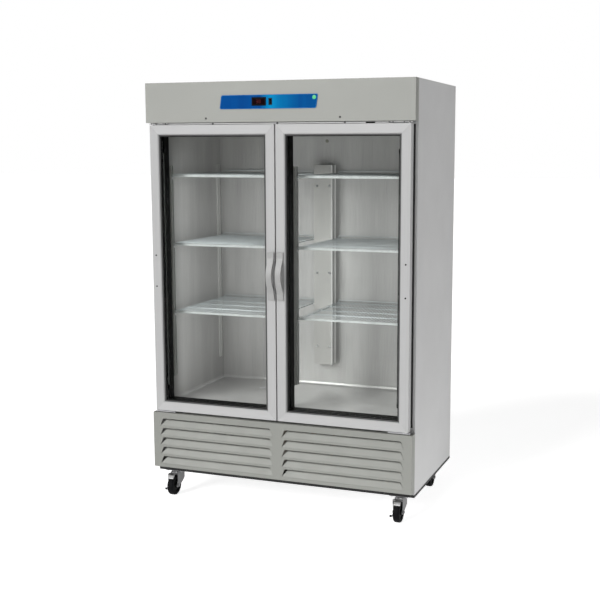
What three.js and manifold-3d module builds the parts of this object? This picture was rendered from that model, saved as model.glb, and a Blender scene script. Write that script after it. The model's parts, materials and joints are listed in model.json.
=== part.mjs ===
// Two-section glass door refrigerator on casters. Millimetres, +Z up, the front faces -Y.
// The origin is on the floor, midway between the sides and midway between the handles' fronts and the back.
import * as THREE from 'three';
import { mergeVertices } from 'three/addons/utils/BufferGeometryUtils.js';
import Module from 'manifold-3d';

const wasm = await Module();
wasm.setup();

// ---------------------------------------------------------------- driving dimensions
const WIDTH = 1375;
const TOTAL_HEIGHT = 2099;
const BODY_DEPTH = 758;          // header front to cabinet back
const HANDLE_REACH = 36;         // how far the door handles stand in front of the doors
const FRONT_DEPTH = 52;          // header, doors and louver panel stand this far in front of the cabinet
const SHEET = 2;
const RETURN_FLANGE = 8;         // gap between the cabinet and the header's or louver panel's inner sheet
const GAP = 0.3;                 // clearance between neighbouring pieces

const HALF_WIDTH = WIDTH / 2;
const FRONT = HANDLE_REACH - (BODY_DEPTH + HANDLE_REACH) / 2;
const BACK = FRONT + BODY_DEPTH;
const CABINET_FRONT = FRONT + FRONT_DEPTH;

const BASE_BOTTOM = 130;
const BASE_RIM_TOP = BASE_BOTTOM + 13.7;
const BASE = { openingHalf: 540, railInset: 8, railWidth: 32, railHeight: 22 };
const PANEL_BOTTOM = 161;
const PANEL_TOP = 448;
const HEADER_BOTTOM = 1907;

const OPENING_HALF = 621;        // half width of the cabinet's front opening
const OPENING_BOTTOM = 511;
const OPENING_TOP = 1856;
const BREAKER_THICKNESS = 6;
const BREAKER_DEPTH = 52;

const ROOM_HALF = 630;           // cold room, inside faces
const ROOM_FRONT = CABINET_FRONT + BREAKER_DEPTH;
const ROOM_BACK = BACK - 54;
const ROOM_FLOOR = 492;
const ROOM_CEILING = 2040;
const FOAM_BOTTOM = 432;

const DOOR = {
  inner: 3, outer: 668.5, bottom: 460, top: 1896, thickness: 40, face: 47,
  chamfer: 5, glassInset: 8, glassThickness: 19, glassCover: 10,
};
const HINGE_AXIS = { x: 648.5, y: FRONT + 20, pinRadius: 6, pinLength: 19 };
const HANDLE = { x: 23.75, width: 35, length: 232, mid: 1175, foot: 38, footDepth: 8, strap: 7 };

const MULLION_HALF = 52;
const POST = { bottom: 619, top: 1697, frontDepth: 48, rearHalf: 45, rearDepth: 54, sheet: 3 };
const PILASTER = { width: 28, depth: 8, front: FRONT + 122, rear: FRONT + 650 };

const SHELF = {
  front: FRONT + 125, back: FRONT + 698, outer: 619, inner: 62.5, thickness: 8, slots: 14, border: 14,
};
const SHELF_TOPS = [960, 1308, 1655];

const LABEL = {
  left: -284, right: 211, bottom: 1968, top: 2034, slant: 9.7, corner: 9, thickness: 1.6,
};
const DISPLAY = { left: -113.5, right: -44, bottom: 1985, top: 2020, depth: 38 };
const SWITCH = { x: -19.5, z: 2001.5, width: 10, height: 25, depth: 7, window: 2 };

const LOUVER = {
  count: 5, pitch: 49.5, firstTop: 417, height: 38, slit: 8, recess: 20, inner: 24, outer: 648,
  flare: 14, wedge: 8, lean: 2, corner: 7,
};

const LIGHT_BAR = { inner: 603, outer: 613, bottom: 572, top: 1777, depth: 13 };
const HINGE_PLATE = {
  inner: 566, outer: 675, clearance: 3.5, leaf: 4, sheet: 3, upperFlange: 36, lowerFlange: 16, front: 8,
};

const CASTER = {
  x: 608, frontY: FRONT + 95, rearY: FRONT + 681, offset: 37, wheelRadius: 51, wheelHalf: 16,
  axleRadius: 5, legGap: 18.6, legSheet: 3, legFront: 1, legBack: 75, bossRadius: 12,
  headRadius: 27, kingPinRadius: 8,
};
const CASTER_PLATE = { halfLength: 48, halfWidth: 38, thickness: 3.4 };
// Places on the brake lever are given forwards or upwards from the axle.
const BRAKE = {
  armGap: 22.2, armSheet: 2.4, bossRadius: 9, sheet: 3,
  pedalLeft: -12, pedalRight: 21, pedalTip: 48, bend: 36, bendHeight: 60,
  neckHalf: 15, neckEnd: 5, neckHeight: 64, strapFront: 22, strapBack: 8,
  shoeRadius: 53.5, shoeHalf: 12, toeReach: 34, toeDrop: 16, toeWidth: 11, toeLength: 8, toeHeight: 9,
};

const MACHINE_FRONT = { halfWidth: 640, bottom: 175 };
const REAR_VENTS = { rows: 6, pitch: 32, bottom: 210, height: 9, x: 330, halfWidth: 200 };
const CORD_HOLE = { halfWidth: 12, z: 212 };
const CONDENSER = {
  left: -260, right: 100, front: CABINET_FRONT + 40, depth: 60, bottom: BASE_RIM_TOP + 30, top: 410,
};
const CONDENSER_FAN = { x: -80, z: 285, y: CABINET_FRONT + 112, depth: 30, radius: 100 };
const COMPRESSOR = { x: 330, y: FRONT + 420, radius: 82, height: 186 };
const PAN = {
  left: -520, right: -140, front: BACK - 260, back: BACK - 50,
  bottom: BASE_RIM_TOP + 26, height: 50, sheet: 3,
};
const EVAPORATOR = {
  half: 330, front: ROOM_FRONT + 60, back: ROOM_BACK - 120, bottom: 1876, coilHalf: 290, coilDepth: 100,
};
const EVAPORATOR_FAN = { x: 0, z: 1955, y: ROOM_FRONT + 96, depth: 24, radius: 58 };

// ---------------------------------------------------------------- materials
const finish = (color, roughness, metalness) => (
  new THREE.MeshStandardMaterial({ color, roughness, metalness })
);
const casingSteel = finish(0xbcbcba, 0.45, 0.7);
const greySteel = finish(0xadaea9, 0.5, 0.6);
const doorSteel = finish(0xc2c2c2, 0.4, 0.8);
const roomSteel = finish(0x9a9a96, 0.4, 0.8);
const blackPlastic = finish(0x141414, 0.5, 0);
const foam = finish(0xd9cfa0, 0.9, 0);
const glass = new THREE.MeshStandardMaterial({
  color: 0xdfe8e8, roughness: 0.05, transparent: true, opacity: 0.3,
});
const shelfCoat = finish(0xc9cfd0, 0.5, 0.1);
const zinc = finish(0xc8c8cc, 0.35, 0.9);
const rubber = finish(0x1a1a1a, 0.7, 0);
const copper = finish(0xb0703c, 0.35, 0.9);
const aluminium = finish(0xc6c8ca, 0.4, 0.8);
const labelBlue = finish(0x0b62b5, 0.3, 0);
const satinGrey = finish(0xb4b4b4, 0.45, 0.5);

// ---------------------------------------------------------------- solid helpers
function solidFrom(geometry) {
  const bare = geometry.clone();
  bare.deleteAttribute('normal');
  bare.deleteAttribute('uv');
  const merged = mergeVertices(bare, 1e-4);
  return new wasm.Manifold(new wasm.Mesh({
    numProp: 3,
    vertProperties: new Float32Array(merged.attributes.position.array),
    triVerts: new Uint32Array(merged.index.array),
  }));
}

function geometryFrom(solid) {
  const mesh = solid.getMesh();
  const geometry = new THREE.BufferGeometry();
  geometry.setAttribute('position', new THREE.BufferAttribute(new Float32Array(mesh.vertProperties), 3));
  geometry.setIndex(new THREE.BufferAttribute(new Uint32Array(mesh.triVerts), 1));
  geometry.computeVertexNormals();
  return geometry;
}

function block(low, high) {
  const geometry = new THREE.BoxGeometry(high[0] - low[0], high[1] - low[1], high[2] - low[2]);
  geometry.translate((low[0] + high[0]) / 2, (low[1] + high[1]) / 2, (low[2] + high[2]) / 2);
  return solidFrom(geometry);
}

// A cylinder between two ends along the x, y or z axis.
function rod(axis, centre, from, to, radius, sides = 24) {
  const geometry = new THREE.CylinderGeometry(radius, radius, to - from, sides);
  if (axis === 'x') geometry.rotateZ(Math.PI / 2);
  if (axis === 'z') geometry.rotateX(Math.PI / 2);
  const middle = (from + to) / 2;
  const place = { x: [middle, ...centre], y: [centre[0], middle, centre[1]], z: [...centre, middle] }[axis];
  geometry.translate(...place);
  return solidFrom(geometry);
}

// A six-sided solid whose rectangle at one value of y differs from the rectangle at the other.
function taperedBlock(yA, rectA, yB, rectB) {
  const geometry = new THREE.BoxGeometry(1, 1, 1);
  const position = geometry.attributes.position;
  for (let i = 0; i < position.count; i += 1) {
    const nearEnd = position.getY(i) < 0;
    const rect = nearEnd ? rectA : rectB;
    position.setXYZ(
      i,
      position.getX(i) < 0 ? rect.left : rect.right,
      nearEnd ? yA : yB,
      position.getZ(i) < 0 ? rect.bottom : rect.top,
    );
  }
  return solidFrom(geometry);
}

// An outline drawn in the y-z plane, extruded along x.
function sideExtrusion(shape, fromX, toX, curveSegments = 12) {
  const options = { depth: toX - fromX, bevelEnabled: false, curveSegments };
  const geometry = new THREE.ExtrudeGeometry(shape, options);
  geometry.applyMatrix4(new THREE.Matrix4().set(0, 0, 1, fromX, 1, 0, 0, 0, 0, 1, 0, 0, 0, 0, 0, 1));
  return solidFrom(geometry);
}

// An outline drawn in the x-z plane, extruded along y.
function frontExtrusion(shape, fromY, toY, curveSegments = 12) {
  const options = { depth: toY - fromY, bevelEnabled: false, curveSegments };
  const geometry = new THREE.ExtrudeGeometry(shape, options);
  geometry.applyMatrix4(new THREE.Matrix4().set(1, 0, 0, 0, 0, 0, -1, toY, 0, 1, 0, 0, 0, 0, 0, 1));
  return solidFrom(geometry);
}

const join = (...solids) => solids.reduce((whole, next) => whole.add(next));
const cut = (whole, ...tools) => tools.reduce((rest, tool) => rest.subtract(tool), whole);

const merchandiser = new THREE.Group();
merchandiser.name = 'glass_door_merchandiser';

function addPart(name, solid, material) {
  const mesh = new THREE.Mesh(geometryFrom(solid), material);
  mesh.name = name;
  merchandiser.add(mesh);
}

const sides = [['left', -1], ['right', 1]];

// A block given for the right-hand side, mirrored when side is -1.
function sidedBlock(side, low, high) {
  if (side > 0) return block(low, high);
  return block([-high[0], low[1], low[2]], [-low[0], high[1], high[2]]);
}

// ---------------------------------------------------------------- cabinet
function outerCasing() {
  const shell = cut(
    block([-HALF_WIDTH, CABINET_FRONT, BASE_RIM_TOP + GAP], [HALF_WIDTH, BACK, TOTAL_HEIGHT]),
    block(
      [SHEET - HALF_WIDTH, CABINET_FRONT + SHEET, 0],
      [HALF_WIDTH - SHEET, BACK - SHEET, TOTAL_HEIGHT - SHEET],
    ),
  );
  const edge = BREAKER_THICKNESS + GAP;
  const doorway = block(
    [-OPENING_HALF - edge, CABINET_FRONT - 5, OPENING_BOTTOM - edge],
    [OPENING_HALF + edge, CABINET_FRONT + 5, OPENING_TOP + edge],
  );
  const machineFront = block(
    [-MACHINE_FRONT.halfWidth, CABINET_FRONT - 5, MACHINE_FRONT.bottom],
    [MACHINE_FRONT.halfWidth, CABINET_FRONT + 5, FOAM_BOTTOM - 2],
  );
  const vents = [];
  const { halfWidth, height } = REAR_VENTS;
  for (let row = 0; row < REAR_VENTS.rows; row += 1) {
    for (const centre of [-REAR_VENTS.x, REAR_VENTS.x]) {
      const z = REAR_VENTS.bottom + row * REAR_VENTS.pitch;
      vents.push(block([centre - halfWidth, BACK - 5, z], [centre + halfWidth, BACK + 5, z + height]));
    }
  }
  const hole = CORD_HOLE.halfWidth;
  const cordHole = block([-hole, BACK - 5, CORD_HOLE.z - hole], [hole, BACK + 5, CORD_HOLE.z + hole]);
  return cut(shell, doorway, machineFront, cordHole, ...vents);
}

function insulationFoam() {
  const skin = SHEET + GAP;
  const outer = block(
    [skin - HALF_WIDTH, CABINET_FRONT + skin, FOAM_BOTTOM],
    [HALF_WIDTH - skin, BACK - skin, TOTAL_HEIGHT - skin],
  );
  const room = block(
    [-ROOM_HALF - skin, ROOM_FRONT - GAP, ROOM_FLOOR - skin],
    [ROOM_HALF + skin, ROOM_BACK + skin, ROOM_CEILING + skin],
  );
  const edge = BREAKER_THICKNESS + GAP;
  const doorway = block(
    [-OPENING_HALF - edge, CABINET_FRONT - 5, OPENING_BOTTOM - edge],
    [OPENING_HALF + edge, ROOM_FRONT + 5, OPENING_TOP + edge],
  );
  return cut(outer, room, doorway);
}

function innerLiner() {
  const outer = block(
    [-ROOM_HALF - SHEET, ROOM_FRONT, ROOM_FLOOR - SHEET],
    [ROOM_HALF + SHEET, ROOM_BACK + SHEET, ROOM_CEILING + SHEET],
  );
  const inside = block([-ROOM_HALF, ROOM_FRONT - 5, ROOM_FLOOR], [ROOM_HALF, ROOM_BACK, ROOM_CEILING]);
  return cut(outer, inside);
}

function breakerFrame() {
  const t = BREAKER_THICKNESS;
  const back = ROOM_FRONT - 2 * GAP;
  const outer = block(
    [-OPENING_HALF - t, CABINET_FRONT, OPENING_BOTTOM - t],
    [OPENING_HALF + t, back, OPENING_TOP + t],
  );
  const inside = block(
    [-OPENING_HALF, CABINET_FRONT - 5, OPENING_BOTTOM],
    [OPENING_HALF, back + 5, OPENING_TOP],
  );
  return cut(outer, inside);
}

function centerMullion() {
  return block(
    [-MULLION_HALF, CABINET_FRONT, OPENING_BOTTOM + GAP],
    [MULLION_HALF, ROOM_FRONT - 2 * GAP, OPENING_TOP - GAP],
  );
}

// A folded channel, open at its back, with a slotted-rail strip on each side to carry the shelves.
function centerPost(halfWidth, front, back, stripFront) {
  const inner = halfWidth - POST.sheet;
  const channel = cut(
    block([-halfWidth, front, POST.bottom], [halfWidth, back, POST.top]),
    block([-inner, front + POST.sheet, POST.bottom - 5], [inner, back + 5, POST.top + 5]),
  );
  const strips = sides.map(([, side]) => sidedBlock(
    side,
    [halfWidth - 1, stripFront, POST.bottom],
    [halfWidth + PILASTER.depth, stripFront + PILASTER.width, POST.top],
  ));
  return join(channel, ...strips);
}

// The slotted rail on a side wall that carries the outer ends of the shelves.
function pilaster(side, front) {
  const wall = ROOM_HALF - GAP;
  return sidedBlock(
    side,
    [wall - PILASTER.depth, front, POST.bottom],
    [wall, front + PILASTER.width, POST.top],
  );
}

// ---------------------------------------------------------------- header and its controls
function headerPanel() {
  const deep = CABINET_FRONT - GAP;
  const tray = cut(
    block([-HALF_WIDTH, FRONT, HEADER_BOTTOM], [HALF_WIDTH, deep, TOTAL_HEIGHT]),
    block(
      [SHEET - HALF_WIDTH, FRONT + SHEET, HEADER_BOTTOM + SHEET],
      [HALF_WIDTH - SHEET, deep + 5, TOTAL_HEIGHT - SHEET],
    ),
    block(
      [SHEET - HALF_WIDTH, deep - RETURN_FLANGE, HEADER_BOTTOM - 5],
      [HALF_WIDTH - SHEET, deep + 5, HEADER_BOTTOM + 5],
    ),
  );
  return cut(tray, displayWindow(), switchWindow());
}

function displayWindow() {
  return block(
    [DISPLAY.left - GAP, FRONT - 10, DISPLAY.bottom - GAP],
    [DISPLAY.right + GAP, FRONT + 10, DISPLAY.top + GAP],
  );
}

function switchWindow() {
  const halfWidth = SWITCH.width / 2 + SWITCH.window;
  const halfHeight = SWITCH.height / 2 + SWITCH.window;
  return block(
    [SWITCH.x - halfWidth, FRONT - 10, SWITCH.z - halfHeight],
    [SWITCH.x + halfWidth, FRONT + 10, SWITCH.z + halfHeight],
  );
}

// A straight-sided outline with each corner rounded by a curve of the given reach.
function roundedOutline(corners, reach) {
  const shape = new THREE.Shape();
  corners.forEach((corner, i) => {
    const before = corners[(i + corners.length - 1) % corners.length];
    const after = corners[(i + 1) % corners.length];
    const start = corner.clone().add(before.clone().sub(corner).setLength(reach));
    const end = corner.clone().add(after.clone().sub(corner).setLength(reach));
    if (i === 0) shape.moveTo(start.x, start.y);
    else shape.lineTo(start.x, start.y);
    shape.quadraticCurveTo(corner.x, corner.y, end.x, end.y);
  });
  shape.closePath();
  return shape;
}

function controlPlate() {
  const outline = roundedOutline([
    new THREE.Vector2(LABEL.left, LABEL.bottom),
    new THREE.Vector2(LABEL.right, LABEL.bottom),
    new THREE.Vector2(LABEL.right + LABEL.slant, LABEL.top),
    new THREE.Vector2(LABEL.left + LABEL.slant, LABEL.top),
  ], LABEL.corner);
  const plate = frontExtrusion(outline, FRONT - GAP - LABEL.thickness, FRONT - GAP, 6);
  return cut(plate, displayWindow(), switchWindow());
}

function temperatureDisplay() {
  const face = FRONT - GAP - LABEL.thickness - 1.5;
  return block([DISPLAY.left, face, DISPLAY.bottom], [DISPLAY.right, FRONT + DISPLAY.depth, DISPLAY.top]);
}

// A rocker whose face is two shallow slopes meeting at its middle.
function powerSwitch() {
  const half = SWITCH.height / 2;
  const face = FRONT - GAP - LABEL.thickness;
  const outline = new THREE.Shape();
  outline.moveTo(face + SWITCH.depth, SWITCH.z - half + 3);
  outline.lineTo(face + SWITCH.depth, SWITCH.z + half - 3);
  outline.lineTo(face - 2.4, SWITCH.z + half);
  outline.lineTo(face, SWITCH.z);
  outline.lineTo(face - 0.4, SWITCH.z - half);
  outline.closePath();
  return sideExtrusion(outline, SWITCH.x - SWITCH.width / 2, SWITCH.x + SWITCH.width / 2);
}

// ---------------------------------------------------------------- louvered panel and base
// The slat slopes inwards from its foot. It stops short of the window's top and narrows upwards by the wedge
// at each end, which leaves a slit above it and a small triangular opening beside it.
function louver(left, right, top) {
  const foot = top - LOUVER.height;
  const { flare, wedge, lean, corner, slit } = LOUVER;
  const window = new THREE.Shape();
  window.moveTo(left, foot);
  window.lineTo(right, foot);
  window.lineTo(right - flare + lean, top - corner);
  window.quadraticCurveTo(right - flare, top, right - flare - corner, top);
  window.lineTo(left + flare + corner, top);
  window.quadraticCurveTo(left + flare, top, left + flare - lean, top - corner);
  window.closePath();
  const slat = new THREE.BoxGeometry(1, 1, 1);
  const position = slat.attributes.position;
  for (let i = 0; i < position.count; i += 1) {
    const upper = position.getZ(i) > 0;
    const taper = upper ? flare + wedge : 0;
    const depth = (upper ? LOUVER.recess : 0) + (position.getY(i) > 0 ? SHEET : 0);
    position.setXYZ(
      i,
      position.getX(i) < 0 ? left + taper : right - taper,
      FRONT + depth,
      upper ? top - slit : foot - 1,
    );
  }
  return { window: frontExtrusion(window, FRONT - 5, FRONT + SHEET + 1, 3), slat: solidFrom(slat) };
}

function louverPanel() {
  const deep = CABINET_FRONT - GAP;
  let panel = cut(
    block([-HALF_WIDTH, FRONT, PANEL_BOTTOM], [HALF_WIDTH, deep, PANEL_TOP]),
    block(
      [SHEET - HALF_WIDTH, FRONT + SHEET, PANEL_BOTTOM + SHEET],
      [HALF_WIDTH - SHEET, deep + 5, PANEL_TOP - SHEET],
    ),
    block(
      [SHEET - HALF_WIDTH, deep - RETURN_FLANGE, PANEL_TOP - 5],
      [HALF_WIDTH - SHEET, deep + 5, PANEL_TOP + 5],
    ),
  );
  for (const [, side] of sides) {
    const left = side > 0 ? LOUVER.inner : -LOUVER.outer;
    const right = side > 0 ? LOUVER.outer : -LOUVER.inner;
    for (let row = 0; row < LOUVER.count; row += 1) {
      const { window, slat } = louver(left, right, LOUVER.firstTop - row * LOUVER.pitch);
      panel = panel.subtract(window).add(slat);
    }
  }
  return panel;
}

function baseFrame() {
  const { openingHalf, railInset, railWidth, railHeight } = BASE;
  const rim = cut(
    block([-HALF_WIDTH, CABINET_FRONT, BASE_BOTTOM], [HALF_WIDTH, BACK, BASE_RIM_TOP]),
    block([-openingHalf, CABINET_FRONT + 60, BASE_BOTTOM - 5], [openingHalf, BACK - 60, BASE_RIM_TOP - 4]),
  );
  const ring = (inset, bottom, top) => block(
    [inset - HALF_WIDTH, CABINET_FRONT + inset, bottom],
    [HALF_WIDTH - inset, BACK - inset, top],
  );
  const rails = cut(
    ring(railInset, BASE_RIM_TOP - 1, BASE_RIM_TOP + railHeight),
    ring(railInset + railWidth, BASE_RIM_TOP, BASE_RIM_TOP + railHeight + 5),
  );
  return join(rim, rails);
}

// ---------------------------------------------------------------- doors
function doorFrame(side) {
  const { inner, outer, bottom, top, face, chamfer } = DOOR;
  const back = FRONT + DOOR.thickness;
  const view = { left: inner + face, right: outer - face, bottom: bottom + face, top: top - face };
  const wide = {
    left: view.left - chamfer, right: view.right + chamfer,
    bottom: view.bottom - chamfer, top: view.top + chamfer,
  };
  const mirrored = (rect) => (side > 0 ? rect : { ...rect, left: -rect.right, right: -rect.left });
  const pocket = DOOR.glassCover + GAP;
  const glassFront = FRONT + DOOR.glassInset;
  const hinge = [side * HINGE_AXIS.x, HINGE_AXIS.y];
  const hole = HINGE_AXIS.pinRadius + GAP + 0.2;
  const depth = HINGE_AXIS.pinLength;
  return cut(
    sidedBlock(side, [inner, FRONT, bottom], [outer, back, top]),
    sidedBlock(side, [view.left, FRONT - 5, view.bottom], [view.right, back + 5, view.top]),
    taperedBlock(FRONT - 1, mirrored(wide), FRONT + chamfer, mirrored(view)),
    sidedBlock(
      side,
      [view.left - pocket, glassFront - GAP, view.bottom - pocket],
      [view.right + pocket, glassFront + DOOR.glassThickness + GAP, view.top + pocket],
    ),
    rod('z', hinge, top - depth, top + 5, hole),
    rod('z', hinge, bottom - 5, bottom + depth, hole),
  );
}

function doorGlass(side) {
  const edge = DOOR.face - DOOR.glassCover;
  const front = FRONT + DOOR.glassInset;
  return sidedBlock(
    side,
    [DOOR.inner + edge, front, DOOR.bottom + edge],
    [DOOR.outer - edge, front + DOOR.glassThickness, DOOR.top - edge],
  );
}

// The seal stays on the door side of the hinge axis, so it only moves away from the cabinet as the
// door opens.
function doorGasket(side) {
  const front = FRONT + DOOR.thickness + GAP;
  const back = CABINET_FRONT - 0.7;
  const outer = {
    low: DOOR.inner + 6, high: HINGE_AXIS.x - 0.5, bottom: DOOR.bottom + 10, top: DOOR.top - 10,
  };
  const width = 16;
  return cut(
    sidedBlock(side, [outer.low, front, outer.bottom], [outer.high, back, outer.top]),
    sidedBlock(
      side,
      [outer.low + width, front - 5, outer.bottom + width],
      [outer.high - width, back + 5, outer.top - width],
    ),
  );
}

// A flat strap that arches away from the door between two feet.
function doorHandle(side) {
  const half = HANDLE.length / 2;
  const hollow = half - HANDLE.foot;
  const face = FRONT - GAP;
  const footFront = face - HANDLE.footDepth;
  const bowFront = FRONT - HANDLE_REACH;
  const bowBack = bowFront + HANDLE.strap;
  const z = HANDLE.mid;
  const outline = new THREE.Shape();
  outline.moveTo(face, z - half);
  outline.lineTo(face, z - hollow);
  outline.bezierCurveTo(bowBack + 6, z - hollow * 0.7, bowBack, z - hollow * 0.4, bowBack, z);
  outline.bezierCurveTo(bowBack, z + hollow * 0.4, bowBack + 6, z + hollow * 0.7, face, z + hollow);
  outline.lineTo(face, z + half);
  outline.lineTo(footFront + 3, z + half);
  outline.quadraticCurveTo(footFront, z + half, footFront, z + half - 4);
  outline.lineTo(footFront, z + hollow + 10);
  outline.bezierCurveTo(footFront - 4, z + hollow * 0.85, bowFront, z + hollow * 0.5, bowFront, z);
  outline.bezierCurveTo(
    bowFront, z - hollow * 0.5,
    footFront - 4, z - hollow * 0.85,
    footFront, z - hollow - 10,
  );
  outline.lineTo(footFront, z - half + 4);
  outline.quadraticCurveTo(footFront, z - half, footFront + 3, z - half);
  outline.closePath();
  const centre = side * HANDLE.x;
  return sideExtrusion(outline, centre - HANDLE.width / 2, centre + HANDLE.width / 2, 8);
}

function lightBar(side) {
  const { inner, outer, bottom, top, depth } = LIGHT_BAR;
  const front = FRONT + DOOR.glassInset + DOOR.glassThickness + 0.5;
  return sidedBlock(side, [inner, front, bottom], [outer, front + depth, top]);
}

// An angle plate on the cabinet front whose leaf reaches over or under the door, with the door's pin.
function hingeBracket(side, upper) {
  const { inner, outer, clearance, leaf, sheet, upperFlange, lowerFlange } = HINGE_PLATE;
  const leafBottom = (upper ? DOOR.top : PANEL_TOP) + clearance;
  const leafTop = leafBottom + leaf;
  const back = CABINET_FRONT - GAP;
  const flangeBottom = upper ? leafBottom : leafBottom - lowerFlange;
  const flangeTop = upper ? leafTop + upperFlange : leafTop;
  const engaged = HINGE_AXIS.pinLength - 2;
  const pinBottom = upper ? DOOR.top - engaged : leafBottom + 1;
  const pinTop = upper ? leafTop - 1 : DOOR.bottom + engaged;
  return join(
    sidedBlock(side, [inner, FRONT + HINGE_PLATE.front, leafBottom], [outer, back, leafTop]),
    sidedBlock(side, [inner, back - sheet, flangeBottom], [outer, back, flangeTop]),
    rod('z', [side * HINGE_AXIS.x, HINGE_AXIS.y], pinBottom, pinTop, HINGE_AXIS.pinRadius),
  );
}

// ---------------------------------------------------------------- shelves
// A border with cross bars; the real shelf is welded from wires.
function shelf(side, top) {
  const low = [SHELF.inner, SHELF.front, top - SHELF.thickness];
  const high = [SHELF.outer, SHELF.back, top];
  let plate = sidedBlock(side, low, high);
  const pitch = (SHELF.outer - SHELF.inner - SHELF.border) / SHELF.slots;
  for (let i = 0; i < SHELF.slots; i += 1) {
    const left = SHELF.inner + SHELF.border + i * pitch;
    plate = plate.subtract(sidedBlock(
      side,
      [left, SHELF.front + SHELF.border, top - SHELF.thickness - 5],
      [left + pitch - SHELF.border, SHELF.back - SHELF.border, top + 5],
    ));
  }
  return plate;
}

// ---------------------------------------------------------------- cooling system
function axialFan(centre, y, depth, radius, bladeCount) {
  const hub = rod('y', centre, y, y + depth, radius * 0.28, 16);
  const blades = [];
  for (let i = 0; i < bladeCount; i += 1) {
    const blade = new THREE.BoxGeometry(radius * 0.62, 2.5, radius * 0.76);
    blade.translate(0, 0, radius * 0.62);
    blade.rotateZ(0.5);
    blade.rotateY((i / bladeCount) * Math.PI * 2);
    blade.translate(centre[0], y + depth / 2, centre[1]);
    blades.push(solidFrom(blade));
  }
  return join(hub, ...blades);
}

function fanMotor(fan, length, radius) {
  const start = fan.y + fan.depth + 1;
  return rod('y', [fan.x, fan.z], start, start + length, radius, 20);
}

// The motor stands on a bracket that reaches down to the base or up to the ceiling.
function condenserFanMotor() {
  const start = CONDENSER_FAN.y + CONDENSER_FAN.depth;
  const { x, z } = CONDENSER_FAN;
  const stand = block([x - 25, start + 20, BASE_RIM_TOP + GAP], [x + 25, start + 26, z]);
  return join(fanMotor(CONDENSER_FAN, 60, 42), stand);
}

function evaporatorFanMotor() {
  const start = EVAPORATOR_FAN.y + EVAPORATOR_FAN.depth;
  const { x, z } = EVAPORATOR_FAN;
  const hanger = block([x - 15, start + 14, z], [x + 15, start + 19, ROOM_CEILING - GAP]);
  return join(fanMotor(EVAPORATOR_FAN, 45, 28), hanger);
}

// A hermetic shell with a domed top on a foot plate, with its terminal box on one side.
function compressor() {
  const { x, y, radius, height } = COMPRESSOR;
  const feet = BASE_RIM_TOP + GAP;
  const profile = new THREE.Shape();
  profile.moveTo(0, 0);
  profile.lineTo(radius - 26, 0);
  profile.quadraticCurveTo(radius, 6, radius, 40);
  profile.lineTo(radius, height - 56);
  profile.quadraticCurveTo(radius - 2, height - 8, 0, height);
  const shell = new THREE.LatheGeometry(profile.getPoints(5), 24);
  shell.rotateX(Math.PI / 2);
  shell.translate(x, y, feet + 18);
  const plate = block([x - 105, y - 80, feet], [x + 105, y + 80, feet + 20]);
  const terminalBox = block([x - 130, y - 30, feet + 60], [x - 70, y + 30, feet + 130]);
  return join(solidFrom(shell), plate, terminalBox);
}

function condenserCoil() {
  const { left, right, front, depth, bottom, top } = CONDENSER;
  const core = block([left, front, bottom], [right, front + depth, top]);
  const header = block([right, front + 12, bottom + 10], [right + 16, front + depth - 12, top - 10]);
  return join(core, header);
}

function condensatePan() {
  const { left, right, front, back, bottom, height, sheet } = PAN;
  return cut(
    block([left, front, bottom], [right, back, bottom + height]),
    block([left + sheet, front + sheet, bottom + sheet], [right - sheet, back - sheet, bottom + height + 5]),
  );
}

// A box hung from the ceiling, open at the top, with a fan hole in front and an outlet slot at the back.
function evaporatorCover() {
  const { half, front, back, bottom } = EVAPORATOR;
  const top = ROOM_CEILING - GAP;
  const fan = EVAPORATOR_FAN;
  return cut(
    block([-half, front, bottom], [half, back, top]),
    block([SHEET - half, front + SHEET, bottom + SHEET], [half - SHEET, back - SHEET, top + 5]),
    rod('y', [fan.x, fan.z], front - 5, front + 10, fan.radius + 6, 28),
    block([30 - half, back - 10, bottom + 24], [half - 30, back + 5, top - 50]),
  );
}

function evaporatorCoil() {
  const { coilHalf, coilDepth, front, bottom } = EVAPORATOR;
  const coilFront = front + 170;
  return block([-coilHalf, coilFront, bottom + 16], [coilHalf, coilFront + coilDepth, bottom + 148]);
}

// ---------------------------------------------------------------- casters
function casterPlate(x, y) {
  const { halfLength, halfWidth, thickness } = CASTER_PLATE;
  const top = BASE_BOTTOM - GAP;
  const plate = block([x - halfLength, y - halfWidth, top - thickness], [x + halfLength, y + halfWidth, top]);
  return cut(plate, rod('z', [x, y], top - 10, top + 5, CASTER.kingPinRadius + 0.6, 16));
}

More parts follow.
